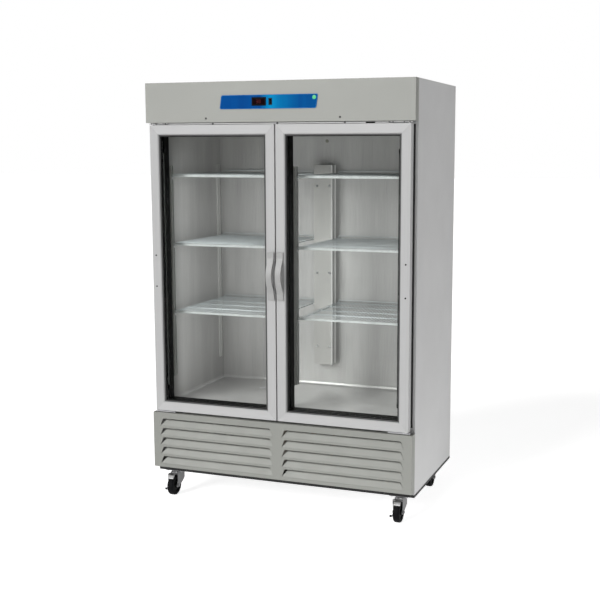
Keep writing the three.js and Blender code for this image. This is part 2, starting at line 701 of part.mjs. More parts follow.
// A bent crown with a front apron and two legs that taper down to the axle, in front of the king pin.
function casterFork(x, y) {
  const { axleRadius, legGap, legSheet, legFront, legBack, bossRadius, headRadius, kingPinRadius } = CASTER;
  const wheelY = y - CASTER.offset;
  const axleZ = CASTER.wheelRadius;
  const headTop = BASE_BOTTOM - 4 - GAP;
  const crownTop = headTop - 5;
  const leg = new THREE.Shape();
  leg.moveTo(wheelY + legFront, crownTop);
  leg.lineTo(wheelY + legFront, axleZ + 24);
  leg.lineTo(wheelY - bossRadius, axleZ + 2);
  leg.absarc(wheelY, axleZ, bossRadius, Math.PI, Math.PI * 1.8, false);
  leg.lineTo(wheelY + 42, axleZ + 2);
  leg.lineTo(wheelY + legBack - 4, axleZ + 18);
  leg.lineTo(wheelY + legBack, axleZ + 27);
  leg.lineTo(wheelY + legBack, crownTop);
  leg.closePath();
  const outer = legGap + legSheet;
  const legs = sides.map(([, side]) => sideExtrusion(
    leg,
    x + (side > 0 ? legGap : -outer),
    x + (side > 0 ? outer : -legGap),
    6,
  ));
  const front = wheelY + legFront;
  const apronBottom = 2 * CASTER.wheelRadius + 2.5;
  const crown = block([x - outer, front, crownTop - legSheet], [x + outer, wheelY + legBack, crownTop]);
  const apron = block([x - outer, front, apronBottom], [x + outer, front + legSheet, crownTop]);
  const head = rod('z', [x, y], crownTop - 1, headTop, headRadius, 20);
  const kingPin = rod('z', [x, y], headTop - 5, BASE_BOTTOM - GAP, kingPinRadius, 16);
  const axleHalf = outer + 4.4;
  const axle = rod('x', [wheelY, axleZ], x - axleHalf, x + axleHalf, axleRadius, 16);
  return join(crown, apron, head, kingPin, axle, ...legs);
}

function casterWheel(x, y) {
  const { wheelRadius: radius, wheelHalf: half } = CASTER;
  const hubHalf = half + 2;
  const faceHalf = half - 4;
  const bore = CASTER.axleRadius + GAP;
  const profile = [
    [bore, -hubHalf], [14, -hubHalf], [14, -faceHalf], [34, -faceHalf],
    [36, -half], [radius - 4, -half], [radius, -7],
    [radius, 7], [radius - 4, half], [36, half],
    [34, faceHalf], [14, faceHalf], [14, hubHalf], [bore, hubHalf],
    [bore, -hubHalf],
  ].map(([r, along]) => new THREE.Vector2(r, along));
  const wheel = new THREE.LatheGeometry(profile, 28);
  wheel.rotateZ(Math.PI / 2);
  wheel.translate(x, y - CASTER.offset, radius);
  return solidFrom(wheel);
}

// A lever with a single arm that turns about the axle, outside the fork's left leg. A strap joins the arm
// to the neck, which slopes down over the tread into the pedal. The pedal, with the shoe beneath it, is
// trodden to lock the wheel, and the toe tab to free it.
function brakeLever(x, y) {
  const { sheet, pedalTip, bend, bendHeight, neckEnd, neckHeight, strapFront, strapBack, shoeRadius } = BRAKE;
  const { neckHalf, shoeHalf, toeReach, toeDrop } = BRAKE;
  const wheelY = y - CASTER.offset;
  const axleZ = CASTER.wheelRadius;
  const armInside = x - BRAKE.armGap;
  const armOutside = armInside - BRAKE.armSheet;
  const outline = (points) => new THREE.Shape(
    points.map(([forwards, up]) => new THREE.Vector2(wheelY - forwards, axleZ + up)),
  );
  const neckTop = (forwards) => (
    bendHeight + (neckHeight - bendHeight) * (bend - forwards) / (bend - neckEnd)
  );
  const slant = sheet * Math.SQRT1_2;
  const tipHeight = bendHeight - (pedalTip - bend);
  const overlap = bend - 4;
  const pedal = outline([
    [overlap, neckTop(overlap)], [bend, bendHeight], [pedalTip, tipHeight],
    [pedalTip - slant, tipHeight - slant], [overlap, neckTop(overlap) - sheet],
  ]);
  const neck = outline([
    [bend, bendHeight], [bend - slant, bendHeight - slant],
    [neckEnd, neckHeight - sheet], [neckEnd, neckHeight],
  ]);
  const strap = outline([
    [strapFront, neckTop(strapFront)], [strapFront, neckTop(strapFront) - sheet],
    [strapBack, neckTop(strapBack) - sheet], [strapBack, neckTop(strapBack)],
  ]);
  const arm = outline([
    [8, -2], [-8, 2], [strapBack, neckTop(strapBack)], [strapFront, neckTop(strapFront)],
  ]);
  const toeArm = outline([[-2, 7], [toeReach, -toeDrop], [toeReach, -toeDrop - 4], [4, -8]]);
  const shoe = new THREE.Shape();
  shoe.absarc(wheelY, axleZ, shoeRadius, Math.PI * 0.66, Math.PI * 0.78, false);
  shoe.lineTo(wheelY - pedalTip + 1.4, axleZ + tipHeight - 1.4);
  shoe.lineTo(wheelY - bend + 1, axleZ + bendHeight - 2);
  shoe.lineTo(wheelY - bend + 9, axleZ + neckTop(bend - 9) - 2);
  shoe.closePath();
  const toeBottom = axleZ - toeDrop - 3.5;
  const toe = block(
    [armOutside - BRAKE.toeWidth, wheelY - toeReach, toeBottom],
    [armInside, wheelY - toeReach + BRAKE.toeLength, toeBottom + BRAKE.toeHeight],
  );
  const whole = join(
    sideExtrusion(pedal, x + BRAKE.pedalLeft, x + BRAKE.pedalRight),
    sideExtrusion(neck, x - neckHalf, x + neckHalf),
    sideExtrusion(strap, armOutside, x),
    sideExtrusion(arm, armOutside, armInside),
    rod('x', [wheelY, axleZ], armOutside, armInside, BRAKE.bossRadius, 20),
    sideExtrusion(shoe, x - shoeHalf, x + shoeHalf, 5),
    sideExtrusion(toeArm, armOutside, armInside),
    toe,
  );
  return cut(whole, rod('x', [wheelY, axleZ], armOutside - 5, armInside + 5, CASTER.axleRadius + GAP, 16));
}

// ---------------------------------------------------------------- assembly
addPart('outer_casing', outerCasing(), casingSteel);
addPart('insulation_foam', insulationFoam(), foam);
addPart('inner_liner', innerLiner(), roomSteel);
addPart('breaker_frame', breakerFrame(), blackPlastic);
addPart('center_mullion', centerMullion(), blackPlastic);
addPart(
  'front_center_post',
  centerPost(MULLION_HALF, ROOM_FRONT + GAP, ROOM_FRONT + POST.frontDepth, PILASTER.front),
  roomSteel,
);
addPart(
  'rear_center_post',
  centerPost(POST.rearHalf, ROOM_BACK - POST.rearDepth, ROOM_BACK - GAP, PILASTER.rear),
  roomSteel,
);
addPart('header_panel', headerPanel(), greySteel);
addPart('control_plate', controlPlate(), labelBlue);
addPart('temperature_display', temperatureDisplay(), blackPlastic);
addPart('power_switch', powerSwitch(), blackPlastic);
addPart('louver_panel', louverPanel(), greySteel);
addPart('base_frame', baseFrame(), blackPlastic);
addPart('compressor', compressor(), blackPlastic);
addPart('condenser_coil', condenserCoil(), copper);
addPart('condenser_fan_motor', condenserFanMotor(), blackPlastic);
addPart(
  'condenser_fan',
  axialFan([CONDENSER_FAN.x, CONDENSER_FAN.z], CONDENSER_FAN.y, CONDENSER_FAN.depth, CONDENSER_FAN.radius, 5),
  aluminium,
);
addPart('condensate_pan', condensatePan(), zinc);
addPart('evaporator_cover', evaporatorCover(), aluminium);
addPart('evaporator_coil', evaporatorCoil(), aluminium);
addPart('evaporator_fan_motor', evaporatorFanMotor(), blackPlastic);
addPart(
  'evaporator_fan',
  axialFan(
    [EVAPORATOR_FAN.x, EVAPORATOR_FAN.z],
    EVAPORATOR_FAN.y,
    EVAPORATOR_FAN.depth,
    EVAPORATOR_FAN.radius,
    5,
  ),
  aluminium,
);

for (const [name, side] of sides) {
  addPart(`${name}_door_frame`, doorFrame(side), doorSteel);
  addPart(`${name}_door_glass`, doorGlass(side), glass);
  addPart(`${name}_door_gasket`, doorGasket(side), rubber);
  addPart(`${name}_door_handle`, doorHandle(side), satinGrey);
  addPart(`${name}_light_bar`, lightBar(side), blackPlastic);
  addPart(`${name}_upper_hinge`, hingeBracket(side, true), zinc);
  addPart(`${name}_lower_hinge`, hingeBracket(side, false), zinc);
  for (const place of ['front', 'rear']) {
    addPart(`${name}_${place}_pilaster`, pilaster(side, PILASTER[place]), zinc);
  }
  ['lower', 'middle', 'upper'].forEach((level, i) => {
    addPart(`${name}_${level}_shelf`, shelf(side, SHELF_TOPS[i]), shelfCoat);
  });
  for (const [place, y] of [['front', CASTER.frontY], ['rear', CASTER.rearY]]) {
    const x = side * CASTER.x;
    addPart(`${place}_${name}_caster_plate`, casterPlate(x, y), zinc);
    addPart(`${place}_${name}_caster_fork`, casterFork(x, y), zinc);
    addPart(`${place}_${name}_caster_wheel`, casterWheel(x, y), rubber);
  }
  addPart(`front_${name}_brake_lever`, brakeLever(side * CASTER.x, CASTER.frontY), zinc);
}

export default merchandiser;
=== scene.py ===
"""Two-section glass door refrigerator on casters: the looks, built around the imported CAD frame.

Lengths inside the shape builders are in millimetres; every finished mesh is in metres.
"""
import json
import math

import bmesh
import bpy
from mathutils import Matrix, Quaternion, Vector


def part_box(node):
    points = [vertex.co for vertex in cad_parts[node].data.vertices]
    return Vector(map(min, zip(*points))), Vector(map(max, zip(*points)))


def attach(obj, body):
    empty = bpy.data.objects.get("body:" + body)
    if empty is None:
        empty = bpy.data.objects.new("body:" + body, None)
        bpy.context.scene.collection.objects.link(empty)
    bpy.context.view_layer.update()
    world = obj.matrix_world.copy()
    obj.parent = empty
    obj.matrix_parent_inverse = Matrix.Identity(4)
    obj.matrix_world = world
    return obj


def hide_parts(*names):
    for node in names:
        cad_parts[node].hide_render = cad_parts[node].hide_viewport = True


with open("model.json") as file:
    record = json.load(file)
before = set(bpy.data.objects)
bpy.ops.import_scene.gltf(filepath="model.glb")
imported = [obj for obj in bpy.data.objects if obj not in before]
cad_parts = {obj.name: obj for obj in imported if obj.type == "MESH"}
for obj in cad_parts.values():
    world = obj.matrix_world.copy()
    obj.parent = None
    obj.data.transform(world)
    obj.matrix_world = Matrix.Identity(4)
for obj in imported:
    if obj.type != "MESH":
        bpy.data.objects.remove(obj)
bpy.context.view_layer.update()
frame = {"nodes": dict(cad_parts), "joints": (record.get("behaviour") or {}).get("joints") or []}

MM = 0.001
SIDES = (("left", -1), ("right", 1))

# ------------------------------------------------------------------ sizes taken from the frame


def box_mm(node):
    """Lowest and highest corner of a CAD node, in millimetres."""
    low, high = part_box(node)
    return Vector(low) / MM, Vector(high) / MM


DOOR_LOW, DOOR_HIGH = box_mm("right_door_frame")
FRONT = DOOR_LOW.y
HEADER_LOW, HEADER_HIGH = box_mm("header_panel")
PANEL_LOW, PANEL_HIGH = box_mm("louver_panel")
CASING_LOW, CASING_HIGH = box_mm("outer_casing")
LINER_LOW, LINER_HIGH = box_mm("inner_liner")
BASE_LOW, BASE_HIGH = box_mm("base_frame")
CABINET_FRONT = CASING_LOW.y
BACK = CASING_HIGH.y
LINER_SHEET = 2
ROOM_HALF = LINER_HIGH.x - LINER_SHEET
ROOM_FLOOR = LINER_LOW.z + LINER_SHEET
ROOM_BACK = LINER_HIGH.y - LINER_SHEET
ROOM_FRONT = LINER_LOW.y
JOINT_AT = {joint["name"]: Vector(joint["pos_m"]) / MM for joint in frame["joints"]}

FACE_WIDTH = 47                  # width of a door frame member seen from the front
PLUG_HEIGHTS = (1254.5, 1098.5)  # the unused handle holes in a door's hinge stile


# ------------------------------------------------------------------ mesh building


class Shape:
    """Closed solids, in millimetres, gathered into one mesh."""

    def __init__(self):
        self.points = []
        self.faces = []

    def add(self, points, faces):
        start = len(self.points)
        self.points += [Vector(p) for p in points]
        self.faces += [tuple(start + i for i in face) for face in faces]
        return self

    def box(self, low, high):
        (x0, y0, z0), (x1, y1, z1) = low, high
        x0, x1 = sorted((x0, x1))
        points = [(x, y, z) for z in (z0, z1) for y in (y0, y1) for x in (x0, x1)]
        faces = [(0, 2, 3, 1), (4, 5, 7, 6), (0, 1, 5, 4), (2, 6, 7, 3), (0, 4, 6, 2), (1, 3, 7, 5)]
        return self.add(points, faces)

    def loft(self, rings, closed=False):
        """Joins rings of equal point counts, each to the next; closed also joins the last to the first."""
        count = len(rings[0])
        faces = []
        for r in range(len(rings) if closed else len(rings) - 1):
            a, b = r * count, (r + 1) % len(rings) * count
            for i in range(count):
                j = (i + 1) % count
                faces.append((a + i, a + j, b + j, b + i))
        if not closed:
            last = (len(rings) - 1) * count
            faces.append(tuple(reversed(range(count))))
            faces.append(tuple(range(last, last + count)))
        return self.add([point for ring in rings for point in ring], faces)

    def rod(self, start, end, radius, sides=12, end_radius=None):
        """A round bar between two points."""
        start, end = Vector(start), Vector(end)
        turn = (end - start).to_track_quat("Z", "Y")
        far = radius if end_radius is None else end_radius
        return self.loft([circle(start, turn, radius, sides), circle(end, turn, far, sides)])

    def tube(self, path, radius, sides=10):
        """A round bar along a path of points."""
        path = [Vector(p) for p in path]
        rings = []
        turn = (path[1] - path[0]).to_track_quat("Z", "Y")
        for i, point in enumerate(path):
            before = path[max(i - 1, 0)]
            after = path[min(i + 1, len(path) - 1)]
            ahead = (after - before).normalized()
            turn = (turn @ Vector((0, 0, 1))).rotation_difference(ahead) @ turn
            rings.append(circle(point, turn, radius, sides))
        return self.loft(rings)

    def lathe(self, profile, centre, axis, sides=48):
        """Turns a closed outline of (radius, along) points round an axis through centre."""
        turn = Vector(axis).to_track_quat("Z", "Y")
        rings = []
        for step in range(sides):
            angle = math.tau * step / sides
            spoke = Vector((math.cos(angle), math.sin(angle), 0))
            rings.append([Vector(centre) + turn @ (spoke * r + Vector((0, 0, h))) for r, h in profile])
        return self.loft(rings, closed=True)

    def dome(self, centre, axis, radius, height, sides=16):
        """A low button head whose flat side is at centre."""
        turn = Vector(axis).to_track_quat("Z", "Y")
        rings = []
        for share, lift in ((1, 0), (1, 0.35), (0.85, 0.75), (0.5, 0.97), (0.15, 1)):
            at = Vector(centre) + turn @ Vector((0, 0, height * lift))
            rings.append(circle(at, turn, radius * share, sides))
        return self.loft(rings)

    def prism(self, outline, place):
        """Extrudes a 2-D outline between two ends; place(u, v, end) gives the point for end 0 or 1."""
        return self.loft([[place(u, v, end) for u, v in outline] for end in (0, 1)])

    def piece(self, name, material, body="cabinet", slot=None, smooth=None, bevel=None, replaces=None):
        """Makes the mesh object on a body; slot is not used.
        smooth is the angle in degrees above which an edge stays sharp, bevel the width of rounded edges,
        and replaces the CAD node that the piece stands for."""
        mesh = bpy.data.meshes.new(name)
        mesh.from_pydata([tuple(p * MM) for p in self.points], [], self.faces)
        mesh.validate()
        obj = new_object(name, mesh)
        fix_normals(mesh)
        mesh.materials.append(material)
        if smooth:
            mesh.polygons.foreach_set("use_smooth", [True] * len(mesh.polygons))
            mesh.set_sharp_from_angle(angle=math.radians(smooth))
        if bevel:
            modifier = obj.modifiers.new("rounded edges", "BEVEL")
            modifier.width = bevel * MM
            modifier.segments = 2
            modifier.limit_method = "ANGLE"
            modifier.angle_limit = math.radians(40)
        if smooth:
            weighted = obj.modifiers.new("flat faces stay flat", "WEIGHTED_NORMAL")
            weighted.keep_sharp = True
        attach(obj, body)
        if replaces:
            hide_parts(replaces)


def new_object(name, data):
    """Puts an object with this data in the scene."""
    made = bpy.data.objects.new(name, data)
    bpy.context.scene.collection.objects.link(made)
    return made


def fix_normals(mesh):
    """Turns every face outwards."""
    work = bmesh.new()
    work.from_mesh(mesh)
    bmesh.ops.recalc_face_normals(work, faces=work.faces)
    work.to_mesh(mesh)
    work.free()


def circle(centre, turn, radius, sides):
    """Points of a ring round centre, whose axis is turn applied to Z."""
    points = []
    for i in range(sides):
        angle = math.tau * i / sides
        spoke = Vector((radius * math.cos(angle), radius * math.sin(angle), 0))
        points.append(Vector(centre) + turn @ spoke)
    return points


def mirrored(side, point):
    """The point itself on the right side (1), its mirror image on the left side (-1)."""
    return Vector((side * point[0], point[1], point[2]))


def bezier(a, b, c, d, steps):
    """Points along a cubic curve."""
    points = []
    for i in range(steps + 1):
        t = i / steps
        u = 1 - t
        points.append(tuple(
            u ** 3 * a[k] + 3 * u * u * t * b[k] + 3 * u * t * t * c[k] + t ** 3 * d[k] for k in range(len(a))
        ))
    return points


# ------------------------------------------------------------------ materials


class Nodes:
    """A short way to build a node material."""

    def __init__(self, name):
        self.material = bpy.data.materials.new(name)
        self.material.use_nodes = True
        self.tree = self.material.node_tree
        self.shader = self.tree.nodes["Principled BSDF"]

    def node(self, kind, **settings):
        made = self.tree.nodes.new(kind)
        for key, value in settings.items():
            setattr(made, key, value)
        return made

    def link(self, output, target):
        self.tree.links.new(output, target)

    def set(self, **values):
        for key, value in values.items():
            self.shader.inputs[key.replace("_", " ")].default_value = value
        return self

    def coordinates(self, scale):
        """Object coordinates in metres, stretched by scale."""
        source = self.node("ShaderNodeTexCoord")
        mapping = self.node("ShaderNodeMapping")
        mapping.inputs["Scale"].default_value = scale
        self.link(source.outputs["Object"], mapping.inputs["Vector"])
        return mapping.outputs["Vector"]

    def noise(self, size, detail, scale=(1, 1, 1), roughness=0.5):
        """Smooth noise of size features to the metre, stretched by scale."""
        noise = self.node("ShaderNodeTexNoise")
        noise.inputs["Scale"].default_value = size
        noise.inputs["Detail"].default_value = detail
        noise.inputs["Roughness"].default_value = roughness
        self.link(self.coordinates(scale), noise.inputs["Vector"])
        return noise.outputs["Fac"]

    def ramp(self, value, stops):
        """Colour ramp; stops is a list of (position, colour)."""
        ramp = self.node("ShaderNodeValToRGB")
        elements = ramp.color_ramp.elements
        while len(elements) < len(stops):
            elements.new(0.5)
        for element, (position, colour) in zip(elements, stops):
            element.position = position
            element.color = (*colour, 1)
        self.link(value, ramp.inputs["Fac"])
        return ramp.outputs["Color"]

    def spread(self, value, low, high, source=(0.3, 0.7)):
        """Maps the source range, by default where a noise mostly lies, onto low-high."""
        remap = self.node("ShaderNodeMapRange")
        remap.inputs["From Min"].default_value = source[0]
        remap.inputs["From Max"].default_value = source[1]
        remap.inputs["To Min"].default_value = low
        remap.inputs["To Max"].default_value = high
        self.link(value, remap.inputs["Value"])
        return remap.outputs["Result"]

    def tone(self, value, colour, darker, lighter, reach=(0.3, 0.7)):
        """Drifts the colour between two shades of itself as value rises through reach."""
        stops = [(reach[0], shade(colour, darker)), (reach[1], shade(colour, lighter))]
        self.link(self.ramp(value, stops), self.shader.inputs["Base Color"])

    def gloss(self, value, low, high):
        """Drifts the roughness between low and high."""
        self.link(self.spread(value, low, high), self.shader.inputs["Roughness"])

    def bump(self, height, strength, distance=0.0005, edge_radius=None):
        bump = self.node("ShaderNodeBump")
        bump.inputs["Strength"].default_value = strength
        bump.inputs["Distance"].default_value = distance
        self.link(height, bump.inputs["Height"])
        if edge_radius:
            edge = self.node("ShaderNodeBevel", samples=4)
            edge.inputs["Radius"].default_value = edge_radius * MM
            self.link(edge.outputs["Normal"], bump.inputs["Normal"])
        self.link(bump.outputs["Normal"], self.shader.inputs["Normal"])


def shade(colour, factor):
    """The colour made lighter or darker."""
    return tuple(min(1.0, c * factor) for c in colour)


def painted_metal(name, colour, roughness=0.42, metallic=0.35, edge_radius=1.2):
    """Sprayed sheet: faint orange peel, a slow drift of tone and slightly uneven gloss."""
    m = Nodes(name)
    m.set(Metallic=metallic)
    m.tone(m.noise(2.2, 2), colour, 0.97, 1.03, (0.35, 0.65))
    m.gloss(m.noise(14, 4), roughness - 0.04, roughness + 0.05)
    m.bump(m.noise(420, 2), 0.06, edge_radius=edge_radius)
    return m.material


def brushed_metal(name, colour, along, roughness=0.34, metallic=0.85, contrast=0.05, edge_radius=None):
    """Linished sheet: fine scratches run along one axis, with broader soft bands beside them."""
    m = Nodes(name)
    m.set(Metallic=metallic)
    fine = [700.0, 700.0, 700.0]
    broad = [9.0, 9.0, 9.0]
    fine["xyz".index(along)] = 6.0
    broad["xyz".index(along)] = 0.35
    scratches = m.noise(1.0, 2, scale=fine)
    bands = m.noise(1.0, 4, scale=broad)
    half = m.node("ShaderNodeMath", operation="MULTIPLY")
    mean = m.node("ShaderNodeMath", operation="MULTIPLY_ADD")
    half.inputs[1].default_value = mean.inputs[1].default_value = 0.5
    m.link(bands, half.inputs[0])
    m.link(scratches, mean.inputs[0])
    m.link(half.outputs[0], mean.inputs[2])
    m.tone(mean.outputs[0], colour, 1 - contrast, 1 + contrast, (0.38, 0.62))
    m.gloss(bands, roughness - 0.05, roughness + 0.07)
    m.bump(scratches, 0.05, edge_radius=edge_radius)
    return m.material


def satin_metal(name, colour, along, roughness, metallic=0.15):
    """Brushed metal whose scratches hardly show."""
    return brushed_metal(name, colour, along, roughness=roughness, metallic=metallic, contrast=0.03)


def moulded_plastic(name, colour, roughness=0.45, grain=0.08, shine=0.5):
    """Moulded or extruded plastic and rubber with a fine grain."""
    m = Nodes(name)
    m.set(Specular_IOR_Level=shine)
    cloud = m.noise(30, 3)
    m.tone(cloud, colour, 0.9, 1.1)
    m.gloss(cloud, roughness - 0.06, roughness + 0.06)
    m.bump(m.noise(900, 2), grain, edge_radius=0.6)
    return m.material


def zinc_plate(name, colour=(0.70, 0.70, 0.72), roughness=0.3):
    """Plated steel with the cloudy spangle that plating leaves."""
    m = Nodes(name)
    m.set(Metallic=1.0)
    cloud = m.noise(60, 5, roughness=0.65)
    m.tone(cloud, colour, 0.85, 1.1)
    m.gloss(cloud, roughness - 0.08, roughness + 0.15)
    m.bump(cloud, 0.08, edge_radius=0.5)
    return m.material


def clear_glass(name):
    """A pane that lets light and shadow straight through and keeps its surface reflection."""
    m = Nodes(name)
    clear = m.node("ShaderNodeBsdfTransparent")
    clear.inputs["Color"].default_value = (0.975, 0.98, 0.975, 1)
    gloss = m.node("ShaderNodeBsdfGlossy")
    smear = m.noise(1.3, 3, scale=(3, 3, 1))
    m.link(m.spread(smear, 0.0, 0.03), gloss.inputs["Roughness"])
    fresnel = m.node("ShaderNodeFresnel")
    fresnel.inputs["IOR"].default_value = 1.06
    mix = m.node("ShaderNodeMixShader")
    m.link(fresnel.outputs["Fac"], mix.inputs["Fac"])
    m.link(clear.outputs["BSDF"], mix.inputs[1])
    m.link(gloss.outputs["BSDF"], mix.inputs[2])
    m.tree.nodes.remove(m.shader)
    m.link(mix.outputs["Shader"], m.tree.nodes["Material Output"].inputs["Surface"])
    return m.material


def control_film(name, low, high):
    """Blue film from x = low to high: deep at both ends, a bright pool of cyan right of the middle."""
    m = Nodes(name)
    m.set(Roughness=0.3, Specular_IOR_Level=0.06)
    source = m.node("ShaderNodeTexCoord")
    parts = m.node("ShaderNodeSeparateXYZ")
    m.link(source.outputs["Object"], parts.inputs["Vector"])
    share = m.spread(parts.outputs["X"], 0, 1, source=(low * MM, high * MM))
    base = m.ramp(share, [
        (0.0, (0.0005, 0.070, 0.29)), (0.42, (0.0005, 0.070, 0.29)), (0.53, (0.001, 0.260, 0.56)),
        (0.63, (0.0005, 0.155, 0.40)), (0.82, (0.0005, 0.083, 0.30)), (1.0, (0.0005, 0.074, 0.27)),
    ])
    rays = m.ramp(m.noise(1.0, 2, scale=(28, 1, 3)), [(0.35, (0.3, 0.3, 0.3)), (0.65, (0.7, 0.7, 0.7))])
    tint = m.node("ShaderNodeMix", data_type="RGBA", blend_type="SOFT_LIGHT")
    strength, first, second, mixed = tint.inputs[0], tint.inputs[6], tint.inputs[7], tint.outputs[2]
    strength.default_value = 0.25
    m.link(base, first)
    m.link(rays, second)
    m.link(mixed, m.shader.inputs["Base Color"])
    return m.material


def glowing(name, colour, strength):
    """A lit dot or figure."""
    m = Nodes(name)
    m.set(Base_Color=(*colour, 1), Emission_Color=(*colour, 1), Emission_Strength=strength, Roughness=0.3)
    return m.material


def finned(name, colour, pitch):
    """A coil's face: thin bright fins, pitch millimetres apart along X, with painted shade in the gaps
    between them.
    """
    m = Nodes(name)
    m.set(Metallic=0.8, Roughness=0.4)
    wave = m.node("ShaderNodeTexWave", bands_direction="X")
    wave.inputs["Scale"].default_value = 314.0 / pitch      # a wave of scale 1 repeats every 0.314 m
    source = m.node("ShaderNodeTexCoord")
    m.link(source.outputs["Object"], wave.inputs["Vector"])
    # The wave's dark part is painted shade in the gaps between the fins.
    m.tone(wave.outputs["Fac"], colour, 0.15, 1)
    m.bump(wave.outputs["Fac"], 0.6, distance=0.002)
    return m.material


def foam_material(name):
    """Yellow rigid foam with fine cells."""
    m = Nodes(name)
    m.set(Roughness=0.9)
    cells = m.node("ShaderNodeTexVoronoi")
    cells.inputs["Scale"].default_value = 700
    m.link(m.coordinates((1, 1, 1)), cells.inputs["Vector"])
    tone = m.ramp(cells.outputs["Distance"], [(0.0, (0.6, 0.5, 0.25)), (1.0, (0.85, 0.75, 0.45))])
    m.link(tone, m.shader.inputs["Base Color"])
    m.bump(cells.outputs["Distance"], 0.4)
    return m.material


CASING = painted_metal("casing sheet", (0.60, 0.60, 0.60), roughness=0.60, metallic=0.05)
PANEL = painted_metal("panel sheet", (0.38, 0.385, 0.36), roughness=0.42, metallic=0.15)
LOUVER_PANEL = painted_metal("louver sheet", (0.30, 0.305, 0.282), roughness=0.45, metallic=0.1)
DOOR_X = satin_metal("door metal across", (0.53, 0.53, 0.53), "x", 0.52)
DOOR_Z = satin_metal("door metal upright", (0.49, 0.49, 0.49), "z", 0.52)
ROOM = brushed_metal("liner sheet", (0.42, 0.415, 0.412), "z", roughness=0.36, metallic=0.45, contrast=0.15)
# On the posts' left rails this darker sheet is painted shade in place of the rail metal.
POST = brushed_metal("post sheet", (0.38, 0.375, 0.365), "z", roughness=0.40, metallic=0.35, contrast=0.08)
RAIL = brushed_metal("pilaster metal", (0.50, 0.50, 0.49), "z", roughness=0.38, metallic=0.4, contrast=0.03)
POST_RAIL = satin_metal("post rail metal", (0.44, 0.44, 0.435), "z", 0.42, metallic=0.2)
HANDLE_METAL = satin_metal("handle metal", (0.39, 0.39, 0.385), "z", 0.50)
BLACK = moulded_plastic("black extrusion", (0.003, 0.003, 0.003), roughness=0.55, shine=0.10)
DARK_GREY = moulded_plastic("dark grey trim", (0.012, 0.012, 0.012), roughness=0.5, shine=0.15)
RUBBER = moulded_plastic("gasket rubber", (0.006, 0.006, 0.006), roughness=0.65, shine=0.15)
TYRE = moulded_plastic("wheel tread", (0.004, 0.004, 0.005), roughness=0.6, grain=0.2, shine=0.10)
WHEEL_CORE = moulded_plastic("wheel core", (0.003, 0.003, 0.003), roughness=0.5, shine=0.12)
# On the base frame this near-black is partly the steel's own colour, partly painted shade under the louver
# panel.
BLACK_METAL = painted_metal("black steel", (0.010, 0.010, 0.010), roughness=0.5, metallic=0.0)
ZINC = zinc_plate("zinc plate")
DULL_ZINC = zinc_plate("dull zinc plate", (0.36, 0.36, 0.365), roughness=0.45)
PEDAL_ZINC = zinc_plate("pedal plate", (0.50, 0.50, 0.50), roughness=0.45)
# Near-white flange metal: painted light that keeps the rear post's flanges bright inside the post's shadow.
POST_FLANGE_LIGHT = satin_metal("post flange painted light", (0.85, 0.85, 0.84), "z", 0.42, metallic=0.2)
# Near-black strip beside the doors' hinge edges: painted shade of the gap behind each door.
GAP_SHADE_GREY = moulded_plastic("flange strip of painted gap shade", (0.045, 0.045, 0.045), roughness=0.5, shine=0.2)
CLIP_STEEL = painted_metal("clip steel", (0.70, 0.70, 0.69), roughness=0.4, metallic=0.3, edge_radius=0.4)
DARK_HEAD = zinc_plate("dark screw head", (0.13, 0.13, 0.13), roughness=0.4)
STEEL = zinc_plate("bright steel", (0.78, 0.78, 0.78), roughness=0.22)
COATED_WIRE = moulded_plastic("coated wire", (0.40, 0.43, 0.44), roughness=0.4, grain=0.03, shine=0.3)
COATED_WHITE = moulded_plastic("shelf front", (0.88, 0.90, 0.91), roughness=0.35, grain=0.03, shine=0.3)
# Glazing bead: dark grey partly its own colour, partly painted shade of the gap between door frame and glass.
SHADED_BEAD = moulded_plastic("glazing bead and painted shade", (0.10, 0.10, 0.10), roughness=0.6, shine=0.2)
GLASS = clear_glass("door glass")
COPPER = zinc_plate("copper tube", (0.62, 0.28, 0.14), roughness=0.3)
ALUMINIUM = brushed_metal("evaporator sheet", (0.62, 0.63, 0.64), "x", roughness=0.4, metallic=0.6)
FINS = finned("evaporator fins", (0.7, 0.71, 0.72), 2.5)
COPPER_FINS = finned("condenser fins", (0.45, 0.40, 0.36), 2.5)
FOAM = foam_material("insulation foam")
LENS_AND_HIGHLIGHT = moulded_plastic("lamp lens and painted highlight", (0.20, 0.20, 0.20), roughness=0.3, grain=0.0)
EDGE_LINE = moulded_plastic("label edge", (0.02, 0.20, 0.50), roughness=0.3, grain=0.0)
GREEN_DOT = glowing("status green", (0.10, 0.55, 0.22), 0.25)
GREEN_RING = moulded_plastic("status ring", (0.02, 0.30, 0.30), roughness=0.3, grain=0.0)
DISPLAY_FILM = moulded_plastic("display film", (0.008, 0.002, 0.004), roughness=0.15, grain=0.0, shine=0.15)
RED_DIGIT = glowing("display red", (0.13, 0.006, 0.010), 0.04)
PLUG = moulded_plastic("wall plug", (0.20, 0.20, 0.17), roughness=0.5)


def use(node, material):
    """Gives a CAD node its finish."""
    slots = frame["nodes"][node].data.materials
    slots.clear()
    slots.append(material)


# ------------------------------------------------------------------ doors


